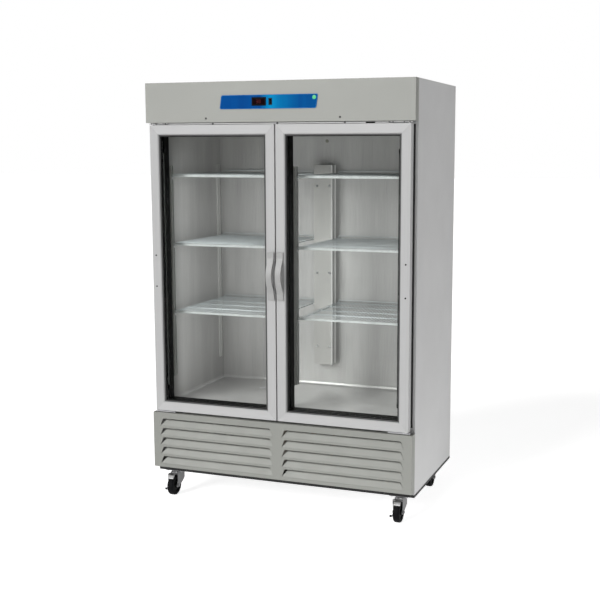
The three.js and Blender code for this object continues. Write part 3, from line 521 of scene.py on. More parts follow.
def door_rails(side, name):
    """The four mitred members of a door frame, each with its own brushing direction."""
    low, high = DOOR_LOW, DOOR_HIGH
    gap = 0.3                    # half the hairline left at a mitre
    hem = 1.6                    # rounded outer and inner edges
    lip = 5.0                    # slope at the opening
    face, deep = FACE_WIDTH, high.y - FRONT
    # outline of a member: (distance from the outer edge, depth)
    outline = [
        (0, hem), (hem * 0.3, hem * 0.3), (hem, 0), (face - lip, 0), (face - lip + 1.2, 0.5),
        (face, lip), (face, deep - 1), (face - 1, deep), (1, deep), (0, deep - 1),
    ]
    corners = [(low.x, low.z), (high.x, low.z), (high.x, high.z), (low.x, high.z)]
    for i, label in enumerate(("lower_rail", "hinge_stile", "upper_rail", "handle_stile")):
        start, end = Vector(corners[i]), Vector(corners[(i + 1) % 4])
        along = (end - start).normalized()
        inward = Vector((-along.y, along.x))
        rings = []
        for corner, sign in ((start, 1), (end, -1)):
            ring = []
            for across, depth in outline:
                spot = corner + inward * across + along * sign * (across + gap)
                ring.append(mirrored(side, (spot.x, FRONT + depth, spot.y)))
            rings.append(ring)
        material = DOOR_Z if label.endswith("stile") else DOOR_X
        node = f"{name}_door_frame" if label == "lower_rail" else None
        Shape().loft(rings).piece(f"{name}_door_{label}", material, f"{name}_door", smooth=40, replaces=node)


def door_glazing(side, name):
    """Two panes held apart by a dark spacer, and a sloping bead round the opening, its dark grey partly its
    own colour and partly painted shade of the gap between frame and glass.
    """
    body = f"{name}_door"
    low, high = box_mm(f"{name}_door_glass")
    pane, spacer_inset, spacer_width = 4.0, 3.0, 17.0
    for label, y in (("outer", low.y), ("inner", high.y - pane)):
        sheet = Shape().box((low.x, y, low.z), (high.x, y + pane, high.z))
        node = f"{name}_door_glass" if label == "outer" else None
        sheet.piece(f"{name}_door_{label}_pane", GLASS, body, replaces=node)
    y0, y1 = low.y + pane + 0.1, high.y - pane - 0.1
    x0, x1 = low.x + spacer_inset, high.x - spacer_inset
    z0, z1 = low.z + spacer_inset, high.z - spacer_inset
    spacer = Shape()
    spacer.box((x0, y0, z0), (x0 + spacer_width, y1, z1))
    spacer.box((x1 - spacer_width, y0, z0), (x1, y1, z1))
    spacer.box((x0 + spacer_width, y0, z0), (x1 - spacer_width, y1, z0 + spacer_width))
    spacer.box((x0 + spacer_width, y0, z1 - spacer_width), (x1 - spacer_width, y1, z1))
    spacer.piece(f"{name}_door_glass_spacer", DARK_GREY, body)
    section = [(0, 4.4), (1.5, 4.8), (3.5, 5.8), (5.5, 7.2), (6.5, 7.9), (0, 7.9)]
    opening_low = (DOOR_LOW.x + FACE_WIDTH, DOOR_LOW.z + FACE_WIDTH)
    opening_high = (DOOR_HIGH.x - FACE_WIDTH, DOOR_HIGH.z - FACE_WIDTH)
    bead = ring_of_sections(
        opening_low, opening_high, section, lambda x, y, z: mirrored(side, (x, FRONT + y, z)))
    Shape().loft(bead, closed=True).piece(f"{name}_door_glazing_bead", SHADED_BEAD, body, smooth=50)


def ring_of_sections(low, high, section, place):
    """A mitred rectangular ring; section is (inset from the outer edge, depth) points."""
    (x0, z0), (x1, z1) = low, high
    rings = []
    for x, z, dx, dz in ((x0, z0, 1, 1), (x1, z0, -1, 1), (x1, z1, -1, -1), (x0, z1, 1, -1)):
        rings.append([place(x + dx * inset, depth, z + dz * inset) for inset, depth in section])
    return rings


def door_gasket(name):
    """A bellows seal with a soft magnetic bead."""
    low, high = box_mm(f"{name}_door_gasket")
    depth = high.y - low.y
    section = [
        (3, 0), (13, 0), (13, 1.5), (11.5, 2.5), (13.5, 4), (11.5, 5.5), (14.5, 6.5), (16, 8),
        (15.5, depth - 0.6), (14, depth), (2, depth), (0.5, depth - 0.6),
        (0, 8), (1.5, 6.5), (4.5, 5.5), (2.5, 4), (4.5, 2.5), (3, 1.5),
    ]
    rings = ring_of_sections(
        (low.x, low.z), (high.x, high.z), section, lambda x, y, z: Vector((x, low.y + y, z)),
    )
    seal = Shape().loft(rings, closed=True)
    seal.piece(f"{name}_door_seal", RUBBER, f"{name}_door", smooth=35, replaces=f"{name}_door_gasket")


def arch(share):
    """Height of a round arch, 1 at its crown and 0 from its foot outwards."""
    return math.cos(math.pi / 2 * share) ** 1.2 if abs(share) < 1 else 0.0


def door_handle(name):
    """A strap handle: two flat feet joined by a bow that narrows towards its middle."""
    low, high = box_mm(f"{name}_door_handle")
    middle = (low + high) / 2
    half = (high.z - low.z) / 2
    half_width = (high.x - low.x) / 2
    reach = high.y - low.y
    foot_depth, foot_length = 8.0, 38.0
    strap = 6.5                  # thickness of the bow
    waist = 0.84                 # width at the middle as a share of the feet's
    hem = 2.0
    hollow = half - foot_length
    shoulder = hollow + 8
    steps = 48
    rings = []
    for i in range(steps + 1):
        z = half * (-1 + 2 * i / steps)
        outer = foot_depth + (reach - foot_depth) * arch(z / shoulder)
        inner = (reach - strap) * arch(z / hollow)
        w = half_width * (1 - (1 - waist) * arch(z / half))
        ring = [
            (-w, inner), (-w, outer - hem), (-w + hem * 0.3, outer - hem * 0.3), (-w + hem, outer),
            (w - hem, outer), (w - hem * 0.3, outer - hem * 0.3), (w, outer - hem), (w, inner),
        ]
        rings.append([Vector((middle.x + u, high.y - depth, middle.z + z)) for u, depth in ring])
    Shape().loft(rings).piece(
        f"{name}_door_bow_handle", HANDLE_METAL, f"{name}_door", smooth=40, replaces=f"{name}_door_handle")


def door_small_parts(name):
    """Plug buttons in the unused handle holes, and a bush round each hinge pin."""
    body = f"{name}_door"
    hinge = JOINT_AT[f"{name}_door_hinge"]
    plugs = Shape()
    for z in PLUG_HEIGHTS:
        plugs.dome((hinge.x, FRONT + 0.1, z), (0, -1, 0), 4.2, 1.6)
    plugs.piece(f"{name}_door_plugs", DARK_GREY, body, smooth=50)
    bushes = Shape()
    profile = [(6.7, 0), (10.5, 0), (10.5, 1.0), (6.7, 1.0)]
    bushes.lathe(profile, (hinge.x, hinge.y, DOOR_HIGH.z + 0.05), (0, 0, 1), 32)
    bushes.lathe(profile, (hinge.x, hinge.y, DOOR_LOW.z - 0.05), (0, 0, -1), 32)
    bushes.piece(f"{name}_door_bushes", BLACK, body, smooth=40)


def light_bar(side, name):
    """A slim lamp housing behind the glass, its lens strip (grey partly its own colour, partly a painted
    highlight along the outer edge), end caps, fixing tabs and lead.
    """
    low, high = box_mm(f"{name}_light_bar")
    body = f"{name}_door"
    outline = [
        (low.x, low.y + 1), (low.x + 1, low.y), (high.x - 1, low.y), (high.x, low.y + 1),
        (high.x, high.y - 2), (high.x - 2, high.y), (low.x + 2, high.y), (low.x, high.y - 2),
    ]
    housing = Shape().prism(outline, lambda u, v, end: Vector((u, v, high.z if end else low.z)))
    housing.piece(f"{name}_lamp_housing", BLACK, body, smooth=30, replaces=f"{name}_light_bar")
    outer = side * max(abs(low.x), abs(high.x))
    # The lens strip's grey is partly the lens's own colour, partly a painted highlight along the housing's
    # outer edge.
    lens = Shape()
    lens.box((outer - side * 7.0, low.y - 0.3, low.z + 18), (outer - side * 1.2, low.y + 2, high.z - 18))
    lens.piece(f"{name}_lamp_lens", LENS_AND_HIGHLIGHT, body, bevel=0.3)
    caps = Shape()
    for z0, z1 in ((low.z - 3, low.z + 14), (high.z - 14, high.z + 3)):
        caps.box((low.x - 0.8, low.y - 0.3, z0), (high.x + 0.8, high.y + 0.8, z1))
    opening = DOOR_HIGH.x - FACE_WIDTH
    for z in (low.z + 60, (low.z + high.z) / 2, high.z - 60):
        caps.box((outer, high.y - 2.4, z), (side * (opening + 4), high.y - 0.8, z + 14))
    caps.piece(f"{name}_lamp_caps", DARK_GREY, body, bevel=0.6)
    middle = (low.x + high.x) / 2
    for colour, material, offset in (("grey", DARK_GREY, -1.6), ("black", BLACK, 1.6)):
        x, y = middle + offset, high.y - 4 + offset
        path = bezier(
            (x, low.y + 6, high.z + 2), (x, low.y + 6, high.z + 40),
            (side * (opening - 4), y, high.z + 40), (side * (opening - 1), y, high.z + 62), 14,
        )
        Shape().tube(path, 1.3, 8).piece(f"{name}_lamp_{colour}_lead", material, body, smooth=60)


# ------------------------------------------------------------------ header controls


def control_panel():
    """The blue film plate with a thin raised border and a green status dot."""
    low, high = box_mm("control_plate")
    use("control_plate", control_film("control film", low.x, high.x))
    slant = 9.7                  # how far the plate's ends lean
    width, thickness = 2.2, 0.35
    back, face = low.y, low.y - thickness
    corners = [(low.x, low.z), (high.x - slant, low.z), (high.x, high.z), (low.x + slant, high.z)]
    outer = rounded_polygon(corners, 9.0, 5)
    inner = rounded_polygon(inset_polygon(corners, width), 8.0, 5)
    rings = []
    for (x0, z0), (x1, z1) in zip(outer, inner):
        ring = [(x0, back, z0), (x0, face, z0), (x1, face, z1), (x1, back, z1)]
        rings.append([Vector(point) for point in ring])
    Shape().loft(rings, closed=True).piece("control_plate_border", EDGE_LINE)
    dot = (high.x - 18, back - 0.05, high.z - 16)
    Shape().dome(dot, (0, -1, 0), 8.5, 1.6, 32).piece("status_dot", GREEN_DOT, smooth=60)
    section = [(8.4, 0), (10.4, 0), (10.0, 1.0), (8.8, 1.0)]
    Shape().lathe(section, dot, (0, -1, 0), 32).piece("status_dot_ring", GREEN_RING, smooth=40)


def inset_polygon(corners, width):
    """Moves each side of a convex polygon inwards by width."""
    lines = []
    for corner, following in zip(corners, corners[1:] + corners[:1]):
        along = (Vector(following) - Vector(corner)).normalized()
        lines.append((Vector(corner) + Vector((-along.y, along.x)) * width, along))
    points = []
    for i in range(len(lines)):
        (p, u), (q, v) = lines[i - 1], lines[i]
        gap = q - p
        crossing = p + u * ((gap.x * v.y - gap.y * v.x) / (u.x * v.y - u.y * v.x))
        points.append((crossing.x, crossing.y))
    return points


def rounded_polygon(corners, reach, steps):
    """Rounds each corner of a polygon with a curve that starts reach before it."""
    points = []
    for i in range(len(corners)):
        before, corner, after = (Vector(corners[k % len(corners)]) for k in (i - 1, i, i + 1))
        start = corner + (before - corner).normalized() * reach
        end = corner + (after - corner).normalized() * reach
        for s in range(steps + 1):
            t = s / steps
            p = start * (1 - t) ** 2 + corner * 2 * t * (1 - t) + end * t * t
            points.append((p.x, p.y))
    return points


SEGMENTS = {
    "0": "abcdef", "1": "bc", "2": "abged", "3": "abgcd", "4": "fgbc",
    "5": "afgcd", "6": "afgedc", "7": "abc", "8": "abcdefg", "9": "abfgcd",
}


def digit(shape, text, x, z, width, height, face):
    """Draws one seven-segment figure with its lower left corner at x, z."""
    t, gap = 1.7, 0.3            # stroke, and the gap at its ends
    half = height / 2
    strokes = {
        "a": (0, height - t, width, height),
        "g": (0, half - t / 2, width, half + t / 2),
        "d": (0, 0, width, t),
        "f": (0, half, t, height), "b": (width - t, half, width, height),
        "e": (0, 0, t, half), "c": (width - t, 0, width, half),
    }
    for key in SEGMENTS[text]:
        x0, z0, x1, z1 = strokes[key]
        shape.box((x + x0 + gap, face - 0.25, z + z0 + gap), (x + x1 - gap, face, z + z1 - gap))


def temperature_display():
    """The thermometer: a stepped bezel, a dark window and two faint red figures."""
    low, high = box_mm("temperature_display")
    use("temperature_display", BLACK)
    face, margin = low.y, 2.5
    section = [(0, 1.6), (0.8, 0.2), (2.0, -0.8), (5.0, -0.8), (6.5, 0.6), (6.5, 1.6)]
    bezel = ring_of_sections(
        (low.x - margin, low.z - margin), (high.x + margin, high.z + margin), section,
        lambda x, y, z: Vector((x, face + y, z)),
    )
    Shape().loft(bezel, closed=True).piece("display_bezel", BLACK, smooth=30)
    window = Shape().box((low.x + 5, face - 0.35, low.z + 5), (high.x - 5, face - 0.05, high.z - 5))
    window.piece("display_window", DISPLAY_FILM)
    figures = Shape()
    width, height, space = 9.5, 16.0, 4
    middle = (low + high) / 2
    left = middle.x - 1.5 * width + 1
    for i, text in enumerate("38"):
        digit(figures, text, left + i * (width + space), middle.z - height / 2, width, height, face - 0.45)
    figures.piece("display_figures", RED_DIGIT)


def rocker_switch():
    """The switch's bezel, wide enough inside for the rocker's corners as it tilts."""
    low, high = box_mm("power_switch")
    use("power_switch", BLACK)
    plate, _ = box_mm("control_plate")
    margin = 2.0
    inner = margin - 1.2
    section = [(-1.6, 0), (-1.6, -1.0), (-0.8, -1.5), (inner, -1.5), (inner, 0)]
    rings = ring_of_sections(
        (low.x - margin, low.z - margin), (high.x + margin, high.z + margin), section,
        lambda x, y, z: Vector((x, plate.y + y, z)),
    )
    Shape().loft(rings, closed=True).piece("switch_bezel", DARK_GREY, smooth=30)


# ------------------------------------------------------------------ screws, bolts and rail fittings


def pan_screws(name, spots, axis, radius=4.0, height=2.2, material=None):
    """Pan-head screws with a cross recess; spots are the seats of the heads."""
    heads, recess = Shape(), Shape()
    turn = Vector(axis).to_track_quat("Z", "Y")
    arm, thin = radius * 0.55, radius * 0.14
    for spot in spots:
        heads.dome(spot, axis, radius, height, 20)
        for u, v in ((arm, thin), (thin, arm)):
            rings = []
            for lift in (height * 0.75, height * 1.04):
                corners = [(-u, -v, lift), (u, -v, lift), (u, v, lift), (-u, v, lift)]
                rings.append([Vector(spot) + turn @ Vector(corner) for corner in corners])
            recess.loft(rings)
    heads.piece(name, material or ZINC, smooth=50)
    recess.piece(f"{name}_recess", BLACK_METAL)


def hex_bolts(name, spots, axis, radius=6.0, height=4.0, material=None):
    """Hexagon heads on thin washers."""
    turn = Vector(axis).to_track_quat("Z", "Y")
    bolts = Shape()
    for spot in spots:
        def ring(lift, wide, sides):
            return circle(Vector(spot) + turn @ Vector((0, 0, lift)), turn, wide, sides)

        bolts.loft([ring(0, radius * 1.5, 20), ring(1, radius * 1.5, 20)])
        seat = 1.1
        shoulder, crown = seat + height * 0.8, seat + height
        bolts.loft([ring(seat, radius, 6), ring(shoulder, radius, 6), ring(crown, radius * 0.82, 6)])
    bolts.piece(name, material or ZINC, smooth=30)


def rail_fittings():
    """The folded drip rail between the doors and the header, its bolts, and the door sensor beside them."""
    face = FRONT + 4
    low, high = DOOR_HIGH.z + 1.8, HEADER_LOW.z - 2.8
    end = 562
    sheet = 1.5
    section = [
        (CABINET_FRONT, low), (face + 1, low), (face, low + 1), (face, high - 1.5), (face + 1.5, high),
        (face + 4, high), (face + 4, high - sheet), (face + sheet, high - sheet), (face + sheet, low + sheet),
        (CABINET_FRONT, low + sheet),
    ]
    rail = Shape().prism(section, lambda u, v, far: Vector((end if far else -end, u, v)))
    rail.piece("drip_rail", DOOR_X, slot="panel_steel", smooth=30)
    z = (low + high) / 2
    spots = [(x, face, z) for x in (-324, 13, 350)]
    hex_bolts("rail_bolts", spots, (0, -1, 0), radius=3.4, height=3, material=DARK_HEAD)
    sensor = Shape().box((452, face - 3, low - 0.8), (496, face + 3, high - 1.5))
    sensor.piece("door_sensor", BLACK, bevel=1.0)


def hinge_clips(side, name):
    """Bright retaining clips and dark bolt heads along the front edge of the upper hinge plate."""
    face = FRONT + 7
    low = DOOR_HIGH.z + 4.0
    plates = Shape()
    for inner, outer in ((572, 590), (598, 622), (628, 640), (650, 672)):
        plates.box((side * inner, face - 2.0, low + 0.2), (side * outer, face, low + 4.6))
        plates.box((side * inner, face, low + 3.4), (side * outer, face + 14, low + 4.6))
    plates.piece(f"{name}_hinge_clips", CLIP_STEEL, bevel=0.5)
    spots = [(side * x, face - 2.0, low + 2.2) for x in (581, 634, 661)]
    hex_bolts(f"{name}_hinge_clip_bolts", spots, (0, -1, 0), radius=2.2, height=2, material=DARK_HEAD)


def flange_strips():
    """A near-black strip on the cabinet's front flange, just outside each door's hinge edge: painted shade of
    the gap behind the door.
    """
    inner, outer = DOOR_HIGH.x - 6, DOOR_HIGH.x + 6.5
    outline = [(inner, 0), (inner, -1.4), (inner + 0.6, -2), (outer - 0.6, -2), (outer, -1.4), (outer, 0)]
    ends = (DOOR_LOW.z + 13, DOOR_HIGH.z - 3)
    for name, side in SIDES:
        trim = Shape().prism(outline, lambda u, v, end: Vector((side * u, CABINET_FRONT + v, ends[end])))
        trim.piece(f"{name}_flange_gap_shade", GAP_SHADE_GREY, smooth=30)


def header_screws():
    """The two screws near the header panel's lower edge."""
    spots = [(x, FRONT, 1926) for x in (-358.6, 327.7)]
    pan_screws("header_screws", spots, (0, -1, 0), radius=5.2, height=2.6, material=DARK_HEAD)


def hinge_screws(side, name):
    """Bolts through each hinge plate into the cabinet, and the collar the door turns on."""
    hinge = JOINT_AT[f"{name}_door_hinge"]
    for place, up in (("upper", True), ("lower", False)):
        node = f"{name}_{place}_hinge"
        low, high = box_mm(node)
        use(node, ZINC)
        z = high.z - 16 if up else low.z + 7
        spots = [(side * x, high.y - 3, z) for x in (590, 622, 654)]
        hex_bolts(f"{node}_bolts", spots, (0, -1, 0), radius=4.5 if up else 3.4, height=3.4)
        leaf_face = DOOR_HIGH.z + 3.5 if up else DOOR_LOW.z - 4.5
        washer = Shape().lathe([(6.2, 0), (11, 0), (11, 2.2), (6.2, 2.2)],
                               (hinge.x, hinge.y, leaf_face), (0, 0, -1 if up else 1), 32)
        washer.piece(f"{node}_washer", STEEL, smooth=40)


# ------------------------------------------------------------------ cold room


def slotted_strip(face_x, side, y0, y1, z0, z1, depth=8.0):
    """A shelf rail standing off a wall: two raised lips with a sunk row of slots between them.
    face_x is the wall side; the rail stands towards the room by depth."""
    shape = Shape()
    sheet, lip, sink = 1.4, 7.0, 6.2
    top = face_x - side * depth
    sunk = top + side * sink
    for a, b in ((y0, y0 + lip), (y1 - lip, y1)):
        shape.box((top, a, z0), (top + side * sheet, b, z1))
    for a in (y0, y1 - sheet):
        shape.box((top + side * sheet, a, z0), (face_x, a + sheet, z1))
    inner0, inner1 = y0 + lip, y1 - lip
    for a in (inner0 - sheet, inner1):
        shape.box((top + side * sheet, a, z0), (sunk + side * sheet, a + sheet, z1))
    pitch, slot, narrow = 25.4, 13.0, 3.6
    count = int((z1 - z0) / pitch)
    web = (z1 - z0 - count * pitch) / 2 + (pitch - slot) / 2
    for a in (inner0, inner1 - narrow):
        shape.box((sunk, a, z0), (sunk + side * sheet, a + narrow, z1))
    edges = [z0]
    for i in range(count):
        edges += [z0 + web + i * pitch, z0 + web + i * pitch + slot]
    edges.append(z1)
    for bottom, top_edge in zip(edges[::2], edges[1::2]):
        shape.box((sunk, inner0 + narrow, bottom), (sunk + side * sheet, inner1 - narrow, top_edge))
    return shape


def wall_pilasters():
    """The slotted rails on the side walls and their screws."""
    for name, side in SIDES:
        for place in ("front", "rear"):
            node = f"{name}_{place}_pilaster"
            low, high = box_mm(node)
            strip = slotted_strip(side * (ROOM_HALF - 0.2), side, low.y, high.y, low.z, high.z)
            strip.piece(f"{name}_{place}_slotted_rail", RAIL, replaces=node)
            screws = [(side * (ROOM_HALF - 3), (low.y + high.y) / 2, z) for z in (low.z + 12, high.z - 12)]
            pan_screws(f"{name}_{place}_rail_screws", screws, (-side, 0, 0), radius=3.6)


def centre_posts():
    """Folded channels with a slotted rail on each flank; the rear one is flanged and bolted to the wall."""
    rail_depth, sheet = 8.0, 2.0
    for label in ("front", "rear"):
        low, high = box_mm(f"{label}_center_post")
        half = high.x - rail_depth
        rail_low, rail_high = box_mm(f"right_{label}_pilaster")
        channel = Shape()
        channel.box((-half, low.y, low.z), (half, low.y + sheet, high.z))
        for side in (-1, 1):
            channel.box((side * half, low.y + sheet, low.z), (side * (half - sheet), high.y, high.z))
        for z0, z1 in ((low.z, low.z + sheet), (high.z - sheet, high.z)):
            channel.box((-half + sheet, low.y + sheet, z0), (half - sheet, high.y, z1))
        channel.piece(f"{label}_post_channel", POST, replaces=f"{label}_center_post")
        for name, side in SIDES:
            rail = slotted_strip(side * half, -side, rail_low.y, rail_high.y, low.z, high.z, rail_depth)
            # The left rail takes the darker post sheet instead of rail metal: painted shade on the posts'
            # left flanks.
            rail.piece(f"{label}_post_{name}_rail", POST if side < 0 else POST_RAIL)
    # The flanges' near-white metal is painted light, so they stay bright despite the post's shadow.
    flanges = Shape()
    for side in (-1, 1):
        flanges.box((side * half, high.y - 1.6, low.z), (side * high.x, high.y - 0.4, high.z))
    flanges.piece("rear_post_flanges", POST_FLANGE_LIGHT)
    spots = [(x, low.y, z) for z in (1586, 1120, 718) for x in (-half + 10, half - 9)]
    hex_bolts("rear_post_bolts", spots, (0, -1, 0), radius=4.5, height=2.5)


def wire_shelf(name, level):
    """A coated wire shelf: close front-to-back wires on cross bars, turned down over a doubled front bar."""
    node = f"{name}_{level}_shelf"
    low, high = box_mm(node)
    count, wire, bar, inset = 36, 1.5, 3.0, 5.0
    top = high.z - wire
    under = top - wire - bar     # middle of the bars just below the wires
    wires, front = Shape(), Shape()
    for i in range(count):
        x = low.x + inset + (high.x - low.x - 2 * inset) * i / (count - 1)
        wires.tube([(x, high.y - 4, top), (x, low.y + 9, top)], wire, 8)
        bent_down = ((9, 0), (5, 0), (2.4, -1), (1.5, -4), (1.5, -8))
        front.tube([(x, low.y + back, top + up) for back, up in bent_down], wire, 8)
    for share in (0.26, 0.5, 0.74, None):
        y = high.y - 3 - bar if share is None else low.y + (high.y - low.y) * share
        wires.rod((low.x, y, under + 0.2), (high.x, y, under + 0.2), bar)
    for x in (low.x + bar, high.x - bar):
        z = under - 2 * bar + 1.4
        wires.rod((x, low.y + 3, z), (x, high.y - 4, z), bar)
    wires.piece(f"{name}_{level}_wires", COATED_WIRE, smooth=50, replaces=node)
    for z in (under + 0.2, under - 5):
        front.rod((low.x, low.y + 3 + bar, z), (high.x, low.y + 3 + bar, z), bar, 16)
    front.piece(f"{name}_{level}_front_bar", COATED_WHITE, smooth=50)
    back_stop(low, high, top).piece(f"{name}_{level}_back_stop", COATED_WIRE, smooth=50)


def back_stop(low, high, top):
    """The raised wire along a shelf's rear edge, turned down at both ends."""
    rise, bend, radius = 12.0, 9.0, 2.2
    y = high.y - 4 - radius
    path = []
    for x, inwards in ((low.x + 10, 1), (high.x - 10, -1)):
        corner = (x, y, top + rise)
        end = [(x, y, top)]
        end += bezier((x, y, top + rise - bend), corner, corner, (x + inwards * bend, y, top + rise), 6)
        path += end if inwards > 0 else reversed(end)
    return Shape().tube(path, radius, 10)


def shelf_clips(name, side, level):
    """Bent clips that hook into the rails and carry the shelf's corners."""
    clips = Shape()
    z = box_mm(f"{name}_{level}_shelf")[0].z - 3
    for place in ("front", "rear"):
        rail_low, rail_high = box_mm(f"{name}_{place}_pilaster")
        y = (rail_low.y + rail_high.y) / 2
        post_half = box_mm(f"{place}_center_post")[1].x
        for wall, towards in ((side * (ROOM_HALF - 8), -side), (side * post_half, side)):
            clips.box((wall, y - 5, z - 16), (wall + towards * 1.6, y + 5, z + 3))
            clips.box((wall, y - 5, z - 1.6), (wall + towards * 11, y + 5, z))
            clips.box((wall + towards * 9.4, y - 5, z), (wall + towards * 11, y + 5, z + 4))
    clips.piece(f"{name}_{level}_clips", ZINC, bevel=0.4)


def floor_edge():
    """The raised, rounded edge round the cold room's floor."""
    rise, cove, foot = 14.0, 12.0, 3
    front = ROOM_FRONT + 6
    profile = [(0, 0), (0, rise), (1.5, rise + 1.5), (foot, rise)]
    for step in range(1, 7):
        angle = math.pi / 2 * step / 6
        profile.append((foot + cove * (1 - math.cos(angle)), rise - rise * math.sin(angle) + 0.2))
    profile += [(foot + cove + 6, 0.3), (foot + cove + 6, 0)]
    rings = []
    for side, y, mitre in ((-1, front, 0), (-1, ROOM_BACK, 1), (1, ROOM_BACK, 1), (1, front, 0)):
        ring = [(side * (ROOM_HALF - across), y - across * mitre, ROOM_FLOOR + up) for across, up in profile]
        rings.append([Vector(point) for point in ring])
    Shape().loft(rings).piece("floor_edge", ROOM, smooth=40)


def room_fittings():
    """The back wall's sheet seam and round plug, and the floor drain."""
    seam = Shape().box((165, ROOM_BACK - 0.5, ROOM_FLOOR + 18), (168, ROOM_BACK, LINER_HIGH.z - 8))
    seam.piece("back_wall_seam", ROOM)
    plug = Shape().dome((3, ROOM_BACK, 1823), (0, -1, 0), 9, 3, 24)
    plug.piece("back_wall_plug", PLUG, smooth=50)
    section = [(8, 0), (19, 0), (19, 1.2), (16, 2), (8, 1)]
    drain = Shape().lathe(section, (-300, 150, ROOM_FLOOR), (0, 0, 1), 40)
    drain.piece("floor_drain", ZINC, smooth=40)


# ------------------------------------------------------------------ casters


def caster_wheel(caster):
    """A solid tread with rounded shoulders on a dished core."""
    body = f"{caster}_wheel"
    hub = JOINT_AT[f"{caster}_wheel_spin"]
    radius, half, inside, shoulder = 51.0, 16.0, 37, 5
    profile = [(inside, -half + 1), (inside, -half), (radius - shoulder, -half)]
    for step in range(1, 7):
        angle = math.pi / 2 * step / 6
        profile.append((radius - shoulder + shoulder * math.sin(angle), -half + 9 * (1 - math.cos(angle))))
    profile += [(r, -h) for r, h in reversed(profile)]
    tread = Shape().lathe(profile, hub, (1, 0, 0), 72)
    tread.piece(f"{body}_tread", TYRE, body, smooth=35, replaces=f"{caster}_caster_wheel")
    half_core = [(5.5, -18), (13, -18), (14, -17), (15, -12), (31, -10), (34, -15), (36.9, -15)]
    core = Shape().lathe(half_core + [(r, -h) for r, h in reversed(half_core)], hub, (1, 0, 0), 48)
    core.piece(f"{body}_hub", WHEEL_CORE, body, smooth=30)


FORK_INNER = 18.6                # from the wheel's middle to a fork leg
FORK_SHEET = 3.0


def caster_fork(caster):
    """Pressed fork: a bent crown with an apron, two tapering legs, the swivel head, axle bolt and nuts."""
    body = f"{caster}_swivel"
    top = JOINT_AT[f"{caster}_caster_swivel"]
    hub = JOINT_AT[f"{caster}_wheel_spin"]
    crown_top = BASE_LOW.z - 9.3
    front, back = hub.y + 1, hub.y + 75
    reach = FORK_INNER + FORK_SHEET
    bend, eye = 6.0, 12          # radius of the crown's bend and of the leg round the axle
    outline = [(front, crown_top - bend), (front, hub.z + 24), (hub.y - eye, hub.z + 2)]
    for step in range(9):
        angle = math.radians(180 + 144 * step / 8)
        outline.append((hub.y + eye * math.cos(angle), hub.z + eye * math.sin(angle)))
    outline += [(hub.y + 42, hub.z + 2), (back - 4, hub.z + 18), (back, hub.z + 27), (back, crown_top - bend)]
    fork = Shape()
    for side in (-1, 1):
        ends = (top.x + side * FORK_INNER, top.x + side * reach)
        fork.prism(outline, lambda u, v, end: Vector((ends[end], u, v)))
    depths = (front, back)
    fork.prism(bent_crown(reach, bend), lambda u, v, end: Vector((top.x + u, depths[end], crown_top + v)))
    edge = reach - 0.2
    apron = [(-reach + 3, 0), (-edge, 3), (-edge, 11), (edge, 11), (edge, 3), (reach - 3, 0)]
    apron_ends = (front + 0.2, front + FORK_SHEET)
    fork.prism(apron, lambda u, v, end: Vector((top.x + u, apron_ends[end], crown_top - 16 + v)))
    fork.piece(f"{caster}_fork_body", DULL_ZINC, body, bevel=0.7, replaces=f"{caster}_caster_fork")
    head = Shape()
    race = [
        (0.01, -1), (29, -1), (30, 0.2), (28, 1.6), (26, 1.6), (26, 2.6), (28.5, 3.4), (27.5, 5), (0.01, 5),
    ]
    head.lathe(race, (top.x, top.y, crown_top), (0, 0, 1), 48)
    nut = [(0.01, 0), (11, 0), (11, 4.5), (8, 6), (0.01, 6)]
    head.lathe(nut, (top.x, top.y, crown_top - FORK_SHEET), (0, 0, -1), 6)
    head.piece(f"{caster}_swivel_head", DULL_ZINC, body, smooth=35)
    axle = Shape()
    axle.rod((hub.x - reach - 4, hub.y, hub.z), (hub.x + reach + 4, hub.y, hub.z), 4.9, 24)
    for start, end in ((-reach - 8.6, -reach - 3.4), (reach + 3.4, reach + 8.6)):
        axle.rod((hub.x + start, hub.y, hub.z), (hub.x + end, hub.y, hub.z), 8, 6)
    axle.piece(f"{caster}_axle_bolt", DULL_ZINC, body, smooth=30)


def bent_crown(reach, bend):
    """Section of the crown: a flat top whose two ends turn down round a bend."""
    def skin(thickness):
        """The section's right half at this depth under its outer face, from the middle outwards."""
        radius = bend - thickness
        points = []
        for k in range(6):
            angle = math.pi / 2 * k / 5
            points.append((reach - bend + radius * math.sin(angle), -bend + radius * math.cos(angle)))
        return points + [(reach - thickness, -bend - 3)]

    outer, inner = skin(0), skin(FORK_SHEET)
    return ([(-x, z) for x, z in reversed(outer)] + outer + inner[::-1] + [(-x, z) for x, z in inner])


